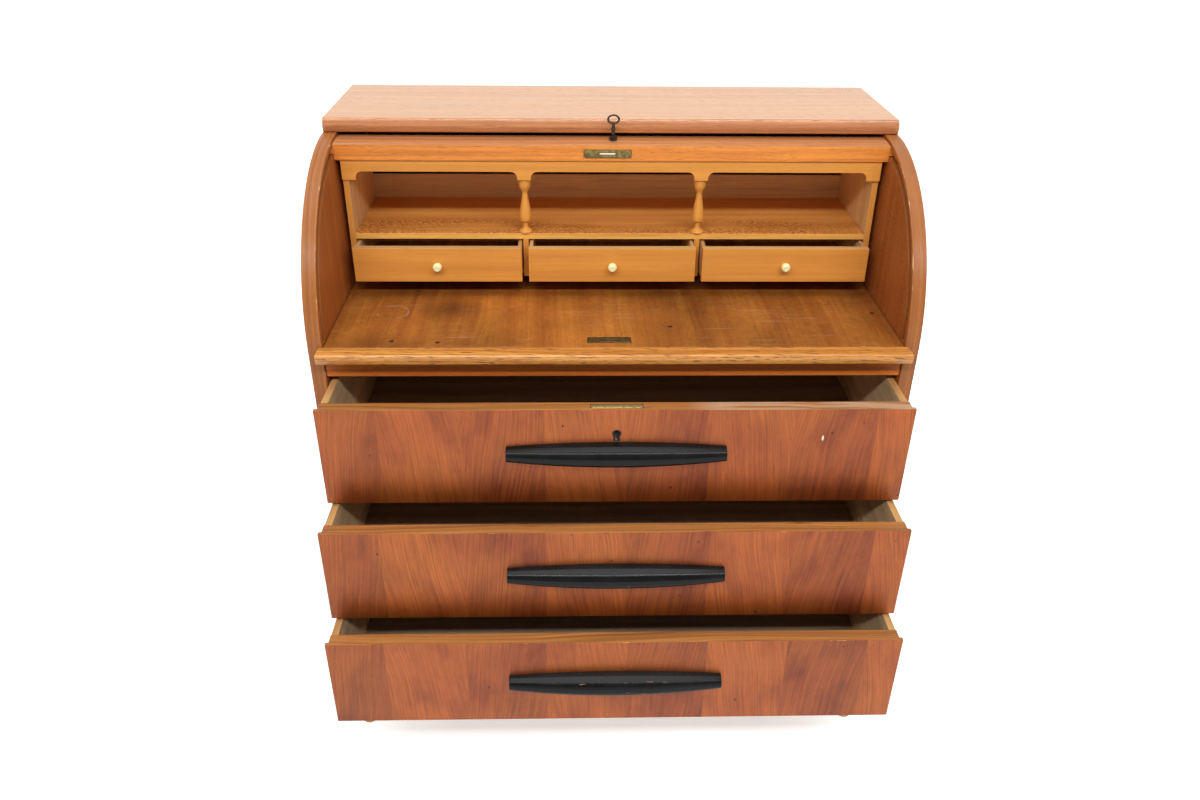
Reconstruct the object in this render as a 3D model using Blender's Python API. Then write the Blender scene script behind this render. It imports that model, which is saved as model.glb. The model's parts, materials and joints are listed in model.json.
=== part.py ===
"""Roll-top writing desk: a carcase on four legs, three large drawers, a pull-out writing board, a gallery
with three small drawers, and a tambour that rolls in curved grooves.

Metres, +Z up. The desk's front faces -Y. Depths are measured from the front edges of the side panels, and
the whole desk hangs from one empty that centres it over the origin.
"""

from math import acos, asin, cos, degrees, pi, radians, sin, sqrt

import bmesh
import bpy
from mathutils import Matrix, Vector

# Gap that pieces keep where they touch
FIT = 0.0003

# Carcase
WIDTH = 0.900
SIDE_THICKNESS = 0.021
SIDE_BOTTOM_Z = 0.200
SHOULDER_MARGIN = 0.022
TOP_THICKNESS = 0.023
TOP_NOSE_BULGE = 0.003
TOP_NOSE_CORNER = 0.0035
TOP_NOSE_LEAD = 0.0085
BACK_THICKNESS = 0.0055
BACK_CLEARANCE = 0.0015
BOTTOM_THICKNESS = 0.019
DUST_PANEL_THICKNESS = 0.0105
DUST_PANEL_SETBACK = 0.002

# Legs
LEG_TOP_RADIUS = 0.020
LEG_FOOT_RADIUS = 0.0125
LEG_INSET_X = 0.034
LEG_FRONT_INSET_Y = 0.050
LEG_REAR_INSET_Y = 0.065
LEG_SPLAY_X = 0.047
LEG_FRONT_SPLAY_Y = 0.050
LEG_REAR_SPLAY_Y = 0.040

# Large drawers
FRONT_HEIGHT = 0.1605
FRONT_GAP = 0.0043
FRONT_RISE = 0.0225
FRONT_THICKNESS = 0.022
LIP_THICKNESS = 0.0057
LIP_OVERLAP = 0.002
DRAWER_CLEARANCE = 0.0025
DRAWER_REAR_CLEARANCE = 0.028
DRAWER_SIDE_THICKNESS = 0.0105
DRAWER_SIDE_LIFT = 0.012
DRAWER_SIDE_DROP = 0.003
DRAWER_BACK_THICKNESS = 0.009
DRAWER_BACK_DROP = 0.008
DRAWER_BOTTOM_THICKNESS = 0.004
DRAWER_BOTTOM_LIFT = 0.008
DRAWER_GROOVE_DEPTH = 0.005
TOP_DRAWER_PULLED = 0.0767
MIDDLE_DRAWER_PULLED = 0.1466
BOTTOM_DRAWER_PULLED = 0.1990

# Handles
HANDLE_LENGTH = 0.322
HANDLE_HALF_HEIGHT = 0.018
HANDLE_DEPTH = 0.024
HANDLE_END_SHARE = 0.60
HANDLE_RISES = [0.0045, 0.0050, 0.0085]
# A handle's middle section, top to bottom: shares of its depth and of its half height
HANDLE_SECTION = [(0.0, 1.0), (0.48, 0.90), (0.60, 0.79), (0.83, 0.40), (0.93, 0.18), (1.0, -0.22),
                  (0.95, -0.50), (0.77, -0.78), (0.42, -0.92), (0.0, -0.95)]

# Lock of the top drawer
DRAWER_LOCK_PLATE = 0.076
DRAWER_LOCK_CASE = 0.050
DRAWER_LOCK_CASE_HEIGHT = 0.050
DRAWER_LOCK_THICKNESS = 0.011
DRAWER_LOCK_SETBACK = 0.0065
LOCK_PLATE_THICKNESS = 0.002
KEYHOLE_DROP = 0.040
KEYHOLE_RADIUS = 0.0065
KEYHOLE_TAB_WIDTH = 0.009
KEYHOLE_HEIGHT = 0.020

# Writing slide
RAIL_GAP = 0.0085
RAIL_HEIGHT = 0.0290
RAIL_THICKNESS = 0.018
RAIL_SETBACK = 0.003
BEARER_THICKNESS = 0.012
BOARD_THICKNESS = 0.021
BOARD_CLEARANCE = 0.0015
BOARD_REAR_CLEARANCE = 0.0245
NOSING_DEPTH = 0.0275
NOSING_HEIGHT = 0.0172
NOSING_OVERLAP = 0.0054
NOSING_BULGE = 0.0015
NOSING_CORNER = 0.005
STRIKE_LENGTH = 0.065
STRIKE_WIDTH = 0.020
STRIKE_SETBACK = 0.0035
STRIKE_THICKNESS = 0.0015
MORTISE_DEPTH = 0.010
BOLT_SLOT_CLEARANCE = 0.001

# Roll-top
CURTAIN_RADIUS = 0.2305
CURTAIN_THICKNESS = 0.010
CURTAIN_SLATS = 15
SLAT_GROOVE = 0.002
LEAD_OUTER_STEP = 0.0035
LEAD_THICKNESS = 0.023
LEAD_WIDTH = 0.0495
LEAD_END_CLEARANCE = 0.0005
OPEN_ANGLE = radians(81.4)
CURTAIN_END_ANGLE = radians(178.0)
CLOSED_CLEARANCE = 0.0006
AXIS_RISE = 0.0062
GROOVE_MARGIN = 0.012
GROOVE_DEPTH = 0.008
GROOVE_CLEARANCE = 0.001
GROOVE_END_CLEARANCE = 0.0015
TOP_CLEARANCE = 0.0075

# Lock, bolt and key of the roll-top
LOCK_OFFSET_X = -0.009
LOCK_PLATE_LENGTH = 0.074
LOCK_CASE_LENGTH = 0.046
LOCK_CASE_DEPTH = 0.034
LOCK_WIDTH = 0.014
BOLT_LENGTH = 0.0245
BOLT_THICKNESS = 0.0027
BOLT_DEPTH = 0.020
BOLT_CLEARANCE = 0.0004
BOLT_THROW = 0.006
KEY_INSET = 0.024
KEY_SHAFT_RADIUS = 0.0032
KEY_CLEARANCE = 0.0004
KEY_REACH = 0.003
KEY_COLLAR_RADIUS = 0.0068
KEY_COLLAR_HEIGHT = 0.0045
KEY_COLLAR_TAPER = 0.70
KEY_SHAFT_LENGTH = 0.0245
KEY_BOW_WIDTH = 0.020
KEY_BOW_HEIGHT = 0.0165
KEY_WIRE_RADIUS = 0.00165

# Gallery
GALLERY_SIDE_GAP = 0.0075
GALLERY_SIDE_THICKNESS = 0.009
GALLERY_LEAD = 0.0225
GALLERY_ROOF_CLEARANCE = 0.0067
GALLERY_ROOF_THICKNESS = 0.004
GALLERY_BACK_THICKNESS = 0.004
GALLERY_BACK_RISE = 0.0417
SLOT_HEIGHT = 0.0198
FLOOR_THICKNESS = 0.006
FLOOR_SETBACK = 0.016
FLOOR_TONGUE_SETBACK = 0.024
FLOOR_HOUSING = 0.0055
SMALL_OPENING = 0.0584
SHELF_THICKNESS = 0.0096
DIVIDER_THICKNESS = 0.009
VALANCE_LEAD = 0.005
VALANCE_THICKNESS = 0.018
VALANCE_HEIGHT = 0.0185
VALANCE_CLEARANCE = 0.001
BRACKET_DROP = 0.0134
BRACKET_WIDTH = 0.0213
BRACKET_CURVE_WIDTH = 0.010
BRACKET_CURVE_HEIGHT = 0.011
COLUMN_RADIUS = 0.0109
# The turning of a column, as shares of its radius and height: ball, neck, belly, throat and collar
COLUMN_TURNING = [(0.70, 0.0), (0.82, 0.017), (0.94, 0.05), (1.0, 0.095), (0.91, 0.135), (0.73, 0.160),
                  (0.45, 0.187), (0.35, 0.215), (0.37, 0.245), (0.78, 0.270), (0.84, 0.29), (0.86, 0.33),
                  (0.80, 0.456), (0.69, 0.589), (0.58, 0.721), (0.535, 0.813), (0.62, 0.871), (0.79, 0.912),
                  (0.90, 0.945), (0.915, 0.985), (0.87, 1.0)]

# Small drawers
SMALL_PULLED = 0.040
SMALL_CLEARANCE = 0.001
SMALL_FRONT_THICKNESS = 0.012
SMALL_WALL = 0.008
SMALL_BOTTOM = 0.004
SMALL_TRAY_DROP = 0.0015
SMALL_REAR_CLEARANCE = 0.006
KNOB_RADIUS = 0.00775
KNOB_HEIGHT = 0.016
KNOB_STEM_RADIUS = 0.0042
KNOB_STEM_SHARE = 0.3
# The turning of a knob's head: shares of its radius and of its height
KNOB_HEAD = [(0.8, 0.4), (1.0, 0.58), (0.97, 0.76), (0.78, 0.92), (0.4, 1.0)]

# Smoothness of round shapes
ROUND_STEPS = 24
CURVE_STEPS = 8
SHOULDER_STEPS = 20
GROOVE_STEPS = 48
SMOOTH_ANGLE = radians(35)

# Heights, worked up from the floor
HALF_WIDTH = WIDTH / 2
INNER_HALF = HALF_WIDTH - SIDE_THICKNESS
FRONT_BOTTOMS = [SIDE_BOTTOM_Z + FRONT_RISE + n * (FRONT_HEIGHT + FRONT_GAP) for n in range(3)]
RAIL_BOTTOM = FRONT_BOTTOMS[2] + FRONT_HEIGHT + RAIL_GAP
RAIL_TOP = RAIL_BOTTOM + RAIL_HEIGHT
BOARD_BOTTOM = RAIL_TOP + FIT
BOARD_TOP = BOARD_BOTTOM + BOARD_THICKNESS
BOTTOM_TOP = FRONT_BOTTOMS[0] + DRAWER_SIDE_LIFT - FIT
BOTTOM_UNDERSIDE = BOTTOM_TOP - BOTTOM_THICKNESS

# The circle that the roll-top follows
CURTAIN_INNER = CURTAIN_RADIUS - CURTAIN_THICKNESS
LEAD_OUTER = CURTAIN_RADIUS + LEAD_OUTER_STEP
LEAD_INNER = LEAD_OUTER - LEAD_THICKNESS
AXIS_Y = GROOVE_MARGIN + CURTAIN_RADIUS
AXIS_Z = BOARD_TOP + AXIS_RISE
CLOSED_ANGLE = asin((CLOSED_CLEARANCE - AXIS_RISE) / LEAD_OUTER)
LEAD_END_ANGLE = OPEN_ANGLE + LEAD_WIDTH / LEAD_OUTER
GROOVE_HALF_WIDTH = INNER_HALF + GROOVE_DEPTH
CURTAIN_HALF_WIDTH = GROOVE_HALF_WIDTH - GROOVE_END_CLEARANCE
LOCK_RADIUS = (LEAD_OUTER + LEAD_INNER) / 2

# Depths
BACK_INNER_Y = AXIS_Y + CURTAIN_RADIUS + BACK_CLEARANCE
CASE_DEPTH = BACK_INNER_Y + BACK_THICKNESS
SHOULDER_RADIUS = CURTAIN_RADIUS + SHOULDER_MARGIN
SIDE_TOP = AXIS_Z + LEAD_OUTER + TOP_CLEARANCE
TOP_FRONT_Y = SHOULDER_RADIUS - TOP_NOSE_LEAD
CLOSED_FACE_Y = -LIP_THICKNESS - FIT
FRONT_BACK_Y = CLOSED_FACE_Y + FRONT_THICKNESS
DUST_PANEL_FRONT_Y = FRONT_BACK_Y + DUST_PANEL_SETBACK
DRAWER_LENGTH = BACK_INNER_Y - DRAWER_REAR_CLEARANCE - FRONT_BACK_Y
PULLED = [BOTTOM_DRAWER_PULLED, MIDDLE_DRAWER_PULLED, TOP_DRAWER_PULLED]
FRONT_REACH = CLOSED_FACE_Y - max(PULLED) - FIT - HANDLE_DEPTH
CENTRE_Y = (FRONT_REACH + CASE_DEPTH) / 2

# Gallery places
GALLERY_HALF = INNER_HALF - GALLERY_SIDE_GAP
GALLERY_INNER = GALLERY_HALF - GALLERY_SIDE_THICKNESS
GALLERY_FRONT_Y = AXIS_Y - GALLERY_LEAD
VALANCE_FRONT_Y = GALLERY_FRONT_Y - VALANCE_LEAD
VALANCE_BACK_Y = VALANCE_FRONT_Y + VALANCE_THICKNESS
ROOF_OUTER = CURTAIN_INNER - GALLERY_ROOF_CLEARANCE
ROOF_INNER = ROOF_OUTER - GALLERY_ROOF_THICKNESS
GALLERY_RADIUS = ROOF_INNER - FIT
FLOOR_BOTTOM = BOARD_TOP + SLOT_HEIGHT
FLOOR_TOP = FLOOR_BOTTOM + FLOOR_THICKNESS
FLOOR_FRONT_Y = GALLERY_FRONT_Y + FLOOR_SETBACK
FLOOR_TONGUE_Y = FLOOR_FRONT_Y + FLOOR_TONGUE_SETBACK
SHELF_BOTTOM = FLOOR_TOP + SMALL_OPENING
SHELF_TOP = SHELF_BOTTOM + SHELF_THICKNESS
BACK_TOP = SHELF_TOP + GALLERY_BACK_RISE
GALLERY_BACK_Y = AXIS_Y + sqrt(GALLERY_RADIUS**2 - (BACK_TOP - AXIS_Z) ** 2)
GALLERY_DEPTH_Y = GALLERY_BACK_Y - GALLERY_BACK_THICKNESS
VALANCE_RADIUS = LEAD_INNER - VALANCE_CLEARANCE
VALANCE_TOP = AXIS_Z + sqrt(VALANCE_RADIUS**2 - (AXIS_Y - VALANCE_FRONT_Y) ** 2)
VALANCE_BOTTOM = VALANCE_TOP - VALANCE_HEIGHT
BRACKET_BOTTOM = VALANCE_BOTTOM - BRACKET_DROP
COLUMN_HEIGHT = BRACKET_BOTTOM - SHELF_TOP - 2 * FIT
COLUMN_Y = GALLERY_FRONT_Y + COLUMN_RADIUS * COLUMN_TURNING[0][0] + FIT
SMALL_OPENING_WIDTH = (2 * GALLERY_INNER - 2 * DIVIDER_THICKNESS) / 3
DIVIDER_X = (SMALL_OPENING_WIDTH + DIVIDER_THICKNESS) / 2
SMALL_PITCH = SMALL_OPENING_WIDTH + DIVIDER_THICKNESS


def clear_scene():
    for old in list(bpy.data.objects):
        bpy.data.objects.remove(old, do_unlink=True)


def finish(name, colour, roughness, metallic=0.0):
    """A plain Principled material."""
    material = bpy.data.materials.new(name)
    material.use_nodes = True
    shader = material.node_tree.nodes["Principled BSDF"]
    shader.inputs["Base Color"].default_value = (*colour, 1.0)
    shader.inputs["Roughness"].default_value = roughness
    shader.inputs["Metallic"].default_value = metallic
    return material


def make_finishes():
    return {
        "teak": finish("teak", (0.36, 0.14, 0.06), 0.45),
        "flame_veneer": finish("flame_veneer", (0.34, 0.12, 0.05), 0.42),
        "beech": finish("beech", (0.60, 0.33, 0.12), 0.45),
        "oak": finish("oak", (0.50, 0.27, 0.11), 0.45),
        "drawer_pine": finish("drawer_pine", (0.52, 0.38, 0.22), 0.60),
        "leg_birch": finish("leg_birch", (0.68, 0.48, 0.26), 0.45),
        "black_lacquer": finish("black_lacquer", (0.012, 0.012, 0.013), 0.32),
        "brass": finish("brass", (0.36, 0.29, 0.15), 0.45, 1.0),
        "steel": finish("steel", (0.55, 0.52, 0.46), 0.35, 1.0),
        "iron": finish("iron", (0.10, 0.09, 0.08), 0.45, 1.0),
        "cream": finish("cream", (0.80, 0.72, 0.45), 0.35),
    }


def add_empty(name, location=(0, 0, 0), parent=None, tilt=0.0):
    empty = bpy.data.objects.new(name, None)
    bpy.context.collection.objects.link(empty)
    empty.location = location
    empty.rotation_euler.x = tilt
    empty.parent = parent
    return empty


def add_object(name, shape, material, parent, smooth=False):
    """A bmesh as a named object, with its faces pointing out."""
    bmesh.ops.recalc_face_normals(shape, faces=shape.faces)
    mesh = bpy.data.meshes.new(name)
    shape.to_mesh(mesh)
    shape.free()
    if smooth:
        mesh.shade_smooth()
        mesh.set_sharp_from_angle(angle=SMOOTH_ANGLE)
    if material:
        mesh.materials.append(material)
    made = bpy.data.objects.new(name, mesh)
    bpy.context.collection.objects.link(made)
    made.parent = parent
    return made


def as_cutter(made):
    made.hide_render = True
    made.display_type = "WIRE"
    return made


def combine(target, tool, operation):
    step = target.modifiers.new(operation.lower(), "BOOLEAN")
    step.operation = operation
    step.object = as_cutter(tool)


def block_shape(x, y, z):
    """A box between the low and high value of each axis."""
    shape = bmesh.new()
    bmesh.ops.create_cube(shape, size=1.0)
    size = Vector((x[1] - x[0], y[1] - y[0], z[1] - z[0]))
    middle = Vector((x[0] + x[1], y[0] + y[1], z[0] + z[1])) / 2
    bmesh.ops.scale(shape, vec=size, verts=shape.verts)
    bmesh.ops.translate(shape, vec=middle, verts=shape.verts)
    return shape


def block(name, x, y, z, material, parent):
    return add_object(name, block_shape(x, y, z), material, parent)


def prism_shape(outline, axis, low, high):
    """An outline in the plane across an axis, extruded from low to high along that axis."""
    places = {"X": lambda a, b: (low, a, b), "Y": lambda a, b: (a, low, b), "Z": lambda a, b: (a, b, low)}
    shape = bmesh.new()
    face = shape.faces.new([shape.verts.new(places[axis](a, b)) for a, b in outline])
    grown = bmesh.ops.extrude_face_region(shape, geom=[face])["geom"]
    ends = [item for item in grown if isinstance(item, bmesh.types.BMVert)]
    offset = Vector([high - low if letter == axis else 0.0 for letter in "XYZ"])
    bmesh.ops.translate(shape, vec=offset, verts=ends)
    return shape


def prism(name, outline, axis, low, high, material, parent, smooth=False):
    return add_object(name, prism_shape(outline, axis, low, high), material, parent, smooth)


def turned_shape(profile, steps=ROUND_STEPS):
    """A profile of (radius, height) points, bottom to top, turned about Z and closed at both ends."""
    shape = bmesh.new()
    points = [shape.verts.new((radius, 0, height)) for radius, height in profile]
    edges = [shape.edges.new(pair) for pair in zip(points, points[1:])]
    bmesh.ops.spin(shape, geom=points + edges, cent=(0, 0, 0), axis=(0, 0, 1), angle=2 * pi, steps=steps,
                   use_merge=True)
    rims = [edge for edge in shape.edges if edge.is_boundary]
    bmesh.ops.holes_fill(shape, edges=rims)
    return shape


def arc(centre_y, centre_z, radius, start, end, steps):
    """Points of (depth, height) on a circle, with angles counted up from the front."""
    turns = [start + (end - start) * n / steps for n in range(steps + 1)]
    return [(centre_y - radius * cos(turn), centre_z + radius * sin(turn)) for turn in turns]


def ring_sector(inner, outer, start, end, steps):
    """The outline of a piece of a ring about the roll-top's axis."""
    return arc(0, 0, outer, start, end, steps) + arc(0, 0, inner, end, start, steps)


def nose(front, bulge, corner, low, high):
    """Points of (depth, height) down a board's front: an arris, a face that bulges, a rounded lower corner."""
    shares = [n / CURVE_STEPS for n in range(CURVE_STEPS + 1)]
    foot = low + corner
    face = [(front + bulge * (2 * share - 1) ** 2, high + (foot - high) * share) for share in shares]
    turns = [pi / 2 * share for share in shares[1:]]
    heel = front + bulge + corner
    return face + [(heel - corner * cos(turn), foot - corner * sin(turn)) for turn in turns]


# Carcase


def side_panel(name, side, looks, desk, roll_top):
    """One side panel: rounded shoulder, curved groove for the curtain, housing for the gallery floor."""
    shoulder = arc(SHOULDER_RADIUS, SIDE_TOP - SHOULDER_RADIUS, SHOULDER_RADIUS, 0, pi / 2, SHOULDER_STEPS)
    outline = [(0, SIDE_BOTTOM_Z), *shoulder, (CASE_DEPTH, SIDE_TOP), (CASE_DEPTH, SIDE_BOTTOM_Z)]
    panel = prism(name, outline, "X", side * INNER_HALF, side * HALF_WIDTH, looks["teak"], desk, True)

    past = side * (INNER_HALF - GROOVE_DEPTH)
    end_clearance = GROOVE_CLEARANCE / CURTAIN_RADIUS
    ring = ring_sector(CURTAIN_INNER - GROOVE_CLEARANCE, CURTAIN_RADIUS + GROOVE_CLEARANCE,
                       CLOSED_ANGLE - end_clearance, CURTAIN_END_ANGLE + end_clearance, GROOVE_STEPS)
    groove = prism(name + "_groove", ring, "X", past, side * GROOVE_HALF_WIDTH, None, roll_top)
    combine(panel, groove, "DIFFERENCE")

    ends = sorted((past, side * (INNER_HALF + FLOOR_HOUSING + FIT)))
    housing = block(name + "_housing", ends, (FLOOR_TONGUE_Y - FIT, GALLERY_BACK_Y + FIT),
                    (FLOOR_BOTTOM - FIT, FLOOR_TOP + FIT), None, desk)
    combine(panel, housing, "DIFFERENCE")


def top_board(looks, desk):
    low = SIDE_TOP + FIT
    high = low + TOP_THICKNESS
    front = nose(TOP_FRONT_Y, TOP_NOSE_BULGE, TOP_NOSE_CORNER, low, high)
    outline = [(CASE_DEPTH, high), *front, (CASE_DEPTH, low)]
    prism("top_board", outline, "X", -HALF_WIDTH, HALF_WIDTH, looks["teak"], desk, True)


def inner_panels(looks, desk):
    """The flat boards between the sides: back, bottom, dust panels, upper rail and bearer."""
    across = (-INNER_HALF + FIT, INNER_HALF - FIT)
    behind = BACK_INNER_Y - FIT
    block("back_panel", across, (BACK_INNER_Y, CASE_DEPTH), (BOTTOM_UNDERSIDE, SIDE_TOP), looks["teak"], desk)
    block("bottom_board", across, (DUST_PANEL_FRONT_Y, behind), (BOTTOM_UNDERSIDE, BOTTOM_TOP),
          looks["drawer_pine"], desk)
    for name, front_bottom in zip(("dust_panel_lower", "dust_panel_upper"), FRONT_BOTTOMS[1:]):
        top = front_bottom + DRAWER_SIDE_LIFT - FIT
        block(name, across, (DUST_PANEL_FRONT_Y, behind), (top - DUST_PANEL_THICKNESS, top),
              looks["drawer_pine"], desk)
    rail_back = RAIL_SETBACK + RAIL_THICKNESS
    block("upper_rail", across, (RAIL_SETBACK, rail_back), (RAIL_BOTTOM, RAIL_TOP), looks["teak"], desk)
    block("board_bearer", across, (rail_back + FIT, behind), (RAIL_TOP - BEARER_THICKNESS, RAIL_TOP),
          looks["drawer_pine"], desk)


def leg(name, side, top_y, splay_y, looks, desk):
    """A round tapered leg, cut level at both ends, that leans out towards its foot."""
    height = BOTTOM_UNDERSIDE - FIT
    shape = bmesh.new()
    bmesh.ops.create_cone(shape, cap_ends=True, segments=ROUND_STEPS, radius1=LEG_FOOT_RADIUS,
                          radius2=LEG_TOP_RADIUS, depth=height)
    bmesh.ops.translate(shape, vec=(side * (INNER_HALF - LEG_INSET_X), top_y, height / 2), verts=shape.verts)
    foot = [vert for vert in shape.verts if vert.co.z < height / 2]
    bmesh.ops.translate(shape, vec=(side * LEG_SPLAY_X, splay_y, 0), verts=foot)
    add_object(name, shape, looks["leg_birch"], desk, True)


def carcase(looks, desk, roll_top):
    side_panel("left_side", -1, looks, desk, roll_top)
    side_panel("right_side", 1, looks, desk, roll_top)
    top_board(looks, desk)
    inner_panels(looks, desk)
    for word, side in (("left", -1), ("right", 1)):
        leg("leg_front_" + word, side, LEG_FRONT_INSET_Y, -LEG_FRONT_SPLAY_Y, looks, desk)
        leg("leg_rear_" + word, side, CASE_DEPTH - LEG_REAR_INSET_Y, LEG_REAR_SPLAY_Y, looks, desk)


# Gallery


def gallery_upright(name, outline, centre_x, thickness, looks, desk):
    prism(name, outline, "X", centre_x - thickness / 2, centre_x + thickness / 2, looks["beech"], desk)


def floor_notch():
    """The lower edge that sides and dividers share, from back to front, with a notch for the floor."""
    notch_y = FLOOR_FRONT_Y - FIT
    notch_z = FLOOR_TOP + FIT
    return [(GALLERY_DEPTH_Y - FIT, notch_z), (notch_y, notch_z), (notch_y, FLOOR_BOTTOM),
            (GALLERY_FRONT_Y, FLOOR_BOTTOM)]


def gallery_sides(looks, desk):
    notch_y = VALANCE_BACK_Y + FIT
    start = acos((AXIS_Y - notch_y) / GALLERY_RADIUS)
    end = pi - acos((GALLERY_DEPTH_Y - FIT - AXIS_Y) / GALLERY_RADIUS)
    crown = arc(AXIS_Y, AXIS_Z, GALLERY_RADIUS, start, end, SHOULDER_STEPS)
    shoulder = BRACKET_BOTTOM - FIT
    outline = [*floor_notch(), (GALLERY_FRONT_Y, shoulder), (notch_y, shoulder), *crown]
    middle = GALLERY_HALF - GALLERY_SIDE_THICKNESS / 2
    gallery_upright("gallery_left_side", outline, -middle, GALLERY_SIDE_THICKNESS, looks, desk)
    gallery_upright("gallery_right_side", outline, middle, GALLERY_SIDE_THICKNESS, looks, desk)


def gallery_dividers(looks, desk):
    top = SHELF_BOTTOM - FIT
    outline = [*floor_notch(), (GALLERY_FRONT_Y, top), (GALLERY_DEPTH_Y - FIT, top)]
    gallery_upright("gallery_divider_left", outline, -DIVIDER_X, DIVIDER_THICKNESS, looks, desk)
    gallery_upright("gallery_divider_right", outline, DIVIDER_X, DIVIDER_THICKNESS, looks, desk)


def gallery_panels(looks, desk, roll_top):
    """Shelf, floor, back and curved roof."""
    between = (-GALLERY_INNER + FIT, GALLERY_INNER - FIT)
    full = (-GALLERY_HALF, GALLERY_HALF)
    housed = INNER_HALF + FLOOR_HOUSING
    block("gallery_shelf", between, (GALLERY_FRONT_Y, GALLERY_DEPTH_Y - FIT), (SHELF_BOTTOM, SHELF_TOP),
          looks["beech"], desk)
    right = [(GALLERY_HALF, FLOOR_FRONT_Y), (GALLERY_HALF, FLOOR_TONGUE_Y), (housed, FLOOR_TONGUE_Y),
             (housed, GALLERY_BACK_Y)]
    left = [(-x, y) for x, y in right[::-1]]
    prism("gallery_floor", right + left, "Z", FLOOR_BOTTOM, FLOOR_TOP, looks["beech"], desk)
    block("gallery_back", full, (GALLERY_DEPTH_Y, GALLERY_BACK_Y), (FLOOR_TOP + FIT, BACK_TOP),
          looks["beech"], desk)
    front_angle = LEAD_END_ANGLE + FIT / LEAD_INNER
    rear_angle = pi - acos((GALLERY_BACK_Y - AXIS_Y) / ROOF_OUTER)
    outline = ring_sector(ROOF_INNER, ROOF_OUTER, front_angle, rear_angle, CURVE_STEPS)
    prism("gallery_roof", outline, "X", *full, looks["beech"], roll_top)


def bracket_curve(edge_x, towards):
    """From a bracket's foot up its side and round to the valance's lower edge."""
    turns = [pi / 2 * n / CURVE_STEPS for n in range(CURVE_STEPS + 1)]
    curve = [(edge_x + towards * BRACKET_CURVE_WIDTH * (1 - cos(turn)),
              VALANCE_BOTTOM - BRACKET_CURVE_HEIGHT * (1 - sin(turn))) for turn in turns]
    return [(edge_x, BRACKET_BOTTOM), *curve]


def gallery_valance(looks, desk):
    """The board above the pigeonholes, cut away between four brackets."""
    half_bracket = BRACKET_WIDTH / 2
    lower = [(-GALLERY_HALF, BRACKET_BOTTOM), *bracket_curve(-GALLERY_HALF + BRACKET_WIDTH, 1)]
    for centre in (-DIVIDER_X, DIVIDER_X):
        lower += bracket_curve(centre - half_bracket, -1)[::-1]
        lower += bracket_curve(centre + half_bracket, 1)
    lower += bracket_curve(GALLERY_HALF - BRACKET_WIDTH, -1)[::-1]
    lower += [(GALLERY_HALF, BRACKET_BOTTOM)]
    outline = lower + [(GALLERY_HALF, VALANCE_TOP), (-GALLERY_HALF, VALANCE_TOP)]
    prism("gallery_valance", outline, "Y", VALANCE_FRONT_Y, VALANCE_BACK_Y, looks["beech"], desk)


def columns(looks, desk):
    """Two turned balusters on the shelf's front edge, under the valance's brackets."""
    profile = [(COLUMN_RADIUS * width, COLUMN_HEIGHT * height) for width, height in COLUMN_TURNING]
    for name, centre in (("column_left", -DIVIDER_X), ("column_right", DIVIDER_X)):
        made = add_object(name, turned_shape(profile), looks["beech"], desk, True)
        made.location = (centre, COLUMN_Y, SHELF_TOP + FIT)


def gallery(looks, desk, roll_top):
    gallery_sides(looks, desk)
    gallery_dividers(looks, desk)
    gallery_panels(looks, desk, roll_top)
    gallery_valance(looks, desk)
    columns(looks, desk)


# Writing slide


def bolt_slot():
    """How far the bolt's way reaches from its middle, along X and across."""
    return BOLT_LENGTH / 2 + BOLT_SLOT_CLEARANCE, BOLT_THICKNESS / 2 + BOLT_SLOT_CLEARANCE


def writing_slide(looks, desk):
    slide = add_empty("writing_slide", (0, 0, BOARD_TOP), desk)
    half = INNER_HALF - BOARD_CLEARANCE
    strike_y = AXIS_Y - LOCK_RADIUS
    slot_x, slot_y = bolt_slot()
    rear = BACK_INNER_Y - BOARD_REAR_CLEARANCE
    board = block("writing_board", (-half, half), (0, rear), (-BOARD_THICKNESS, 0), looks["oak"], slide)

    def around(reach_x, reach_y, back=0.0):
        middle = strike_y + back
        return (LOCK_OFFSET_X - reach_x, LOCK_OFFSET_X + reach_x), (middle - reach_y, middle + reach_y)

    strike = around(STRIKE_LENGTH / 2, STRIKE_WIDTH / 2, STRIKE_SETBACK)
    pocket = around(STRIKE_LENGTH / 2 + FIT, STRIKE_WIDTH / 2 + FIT, STRIKE_SETBACK)
    slot = around(slot_x, slot_y)
    above = STRIKE_THICKNESS
    pocket_height = (-STRIKE_THICKNESS - FIT, above)
    mortise_height = (-MORTISE_DEPTH, above)
    combine(board, block("strike_pocket", *pocket, pocket_height, None, slide), "DIFFERENCE")
    combine(board, block("bolt_mortise", *slot, mortise_height, None, slide), "DIFFERENCE")
    plate = block("strike_plate", *strike, (-STRIKE_THICKNESS, 0), looks["brass"], slide)
    combine(plate, block("strike_slot", *slot, mortise_height, None, slide), "DIFFERENCE")

    front = nose(-NOSING_DEPTH, NOSING_BULGE, NOSING_CORNER, -NOSING_HEIGHT, 0)
    outline = [(-FIT, 0), *front, (-FIT, -NOSING_HEIGHT)]
    reach = INNER_HALF + NOSING_OVERLAP
    prism("board_nosing", outline, "X", -reach, reach, looks["oak"], slide, True)


# Roll-top


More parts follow.
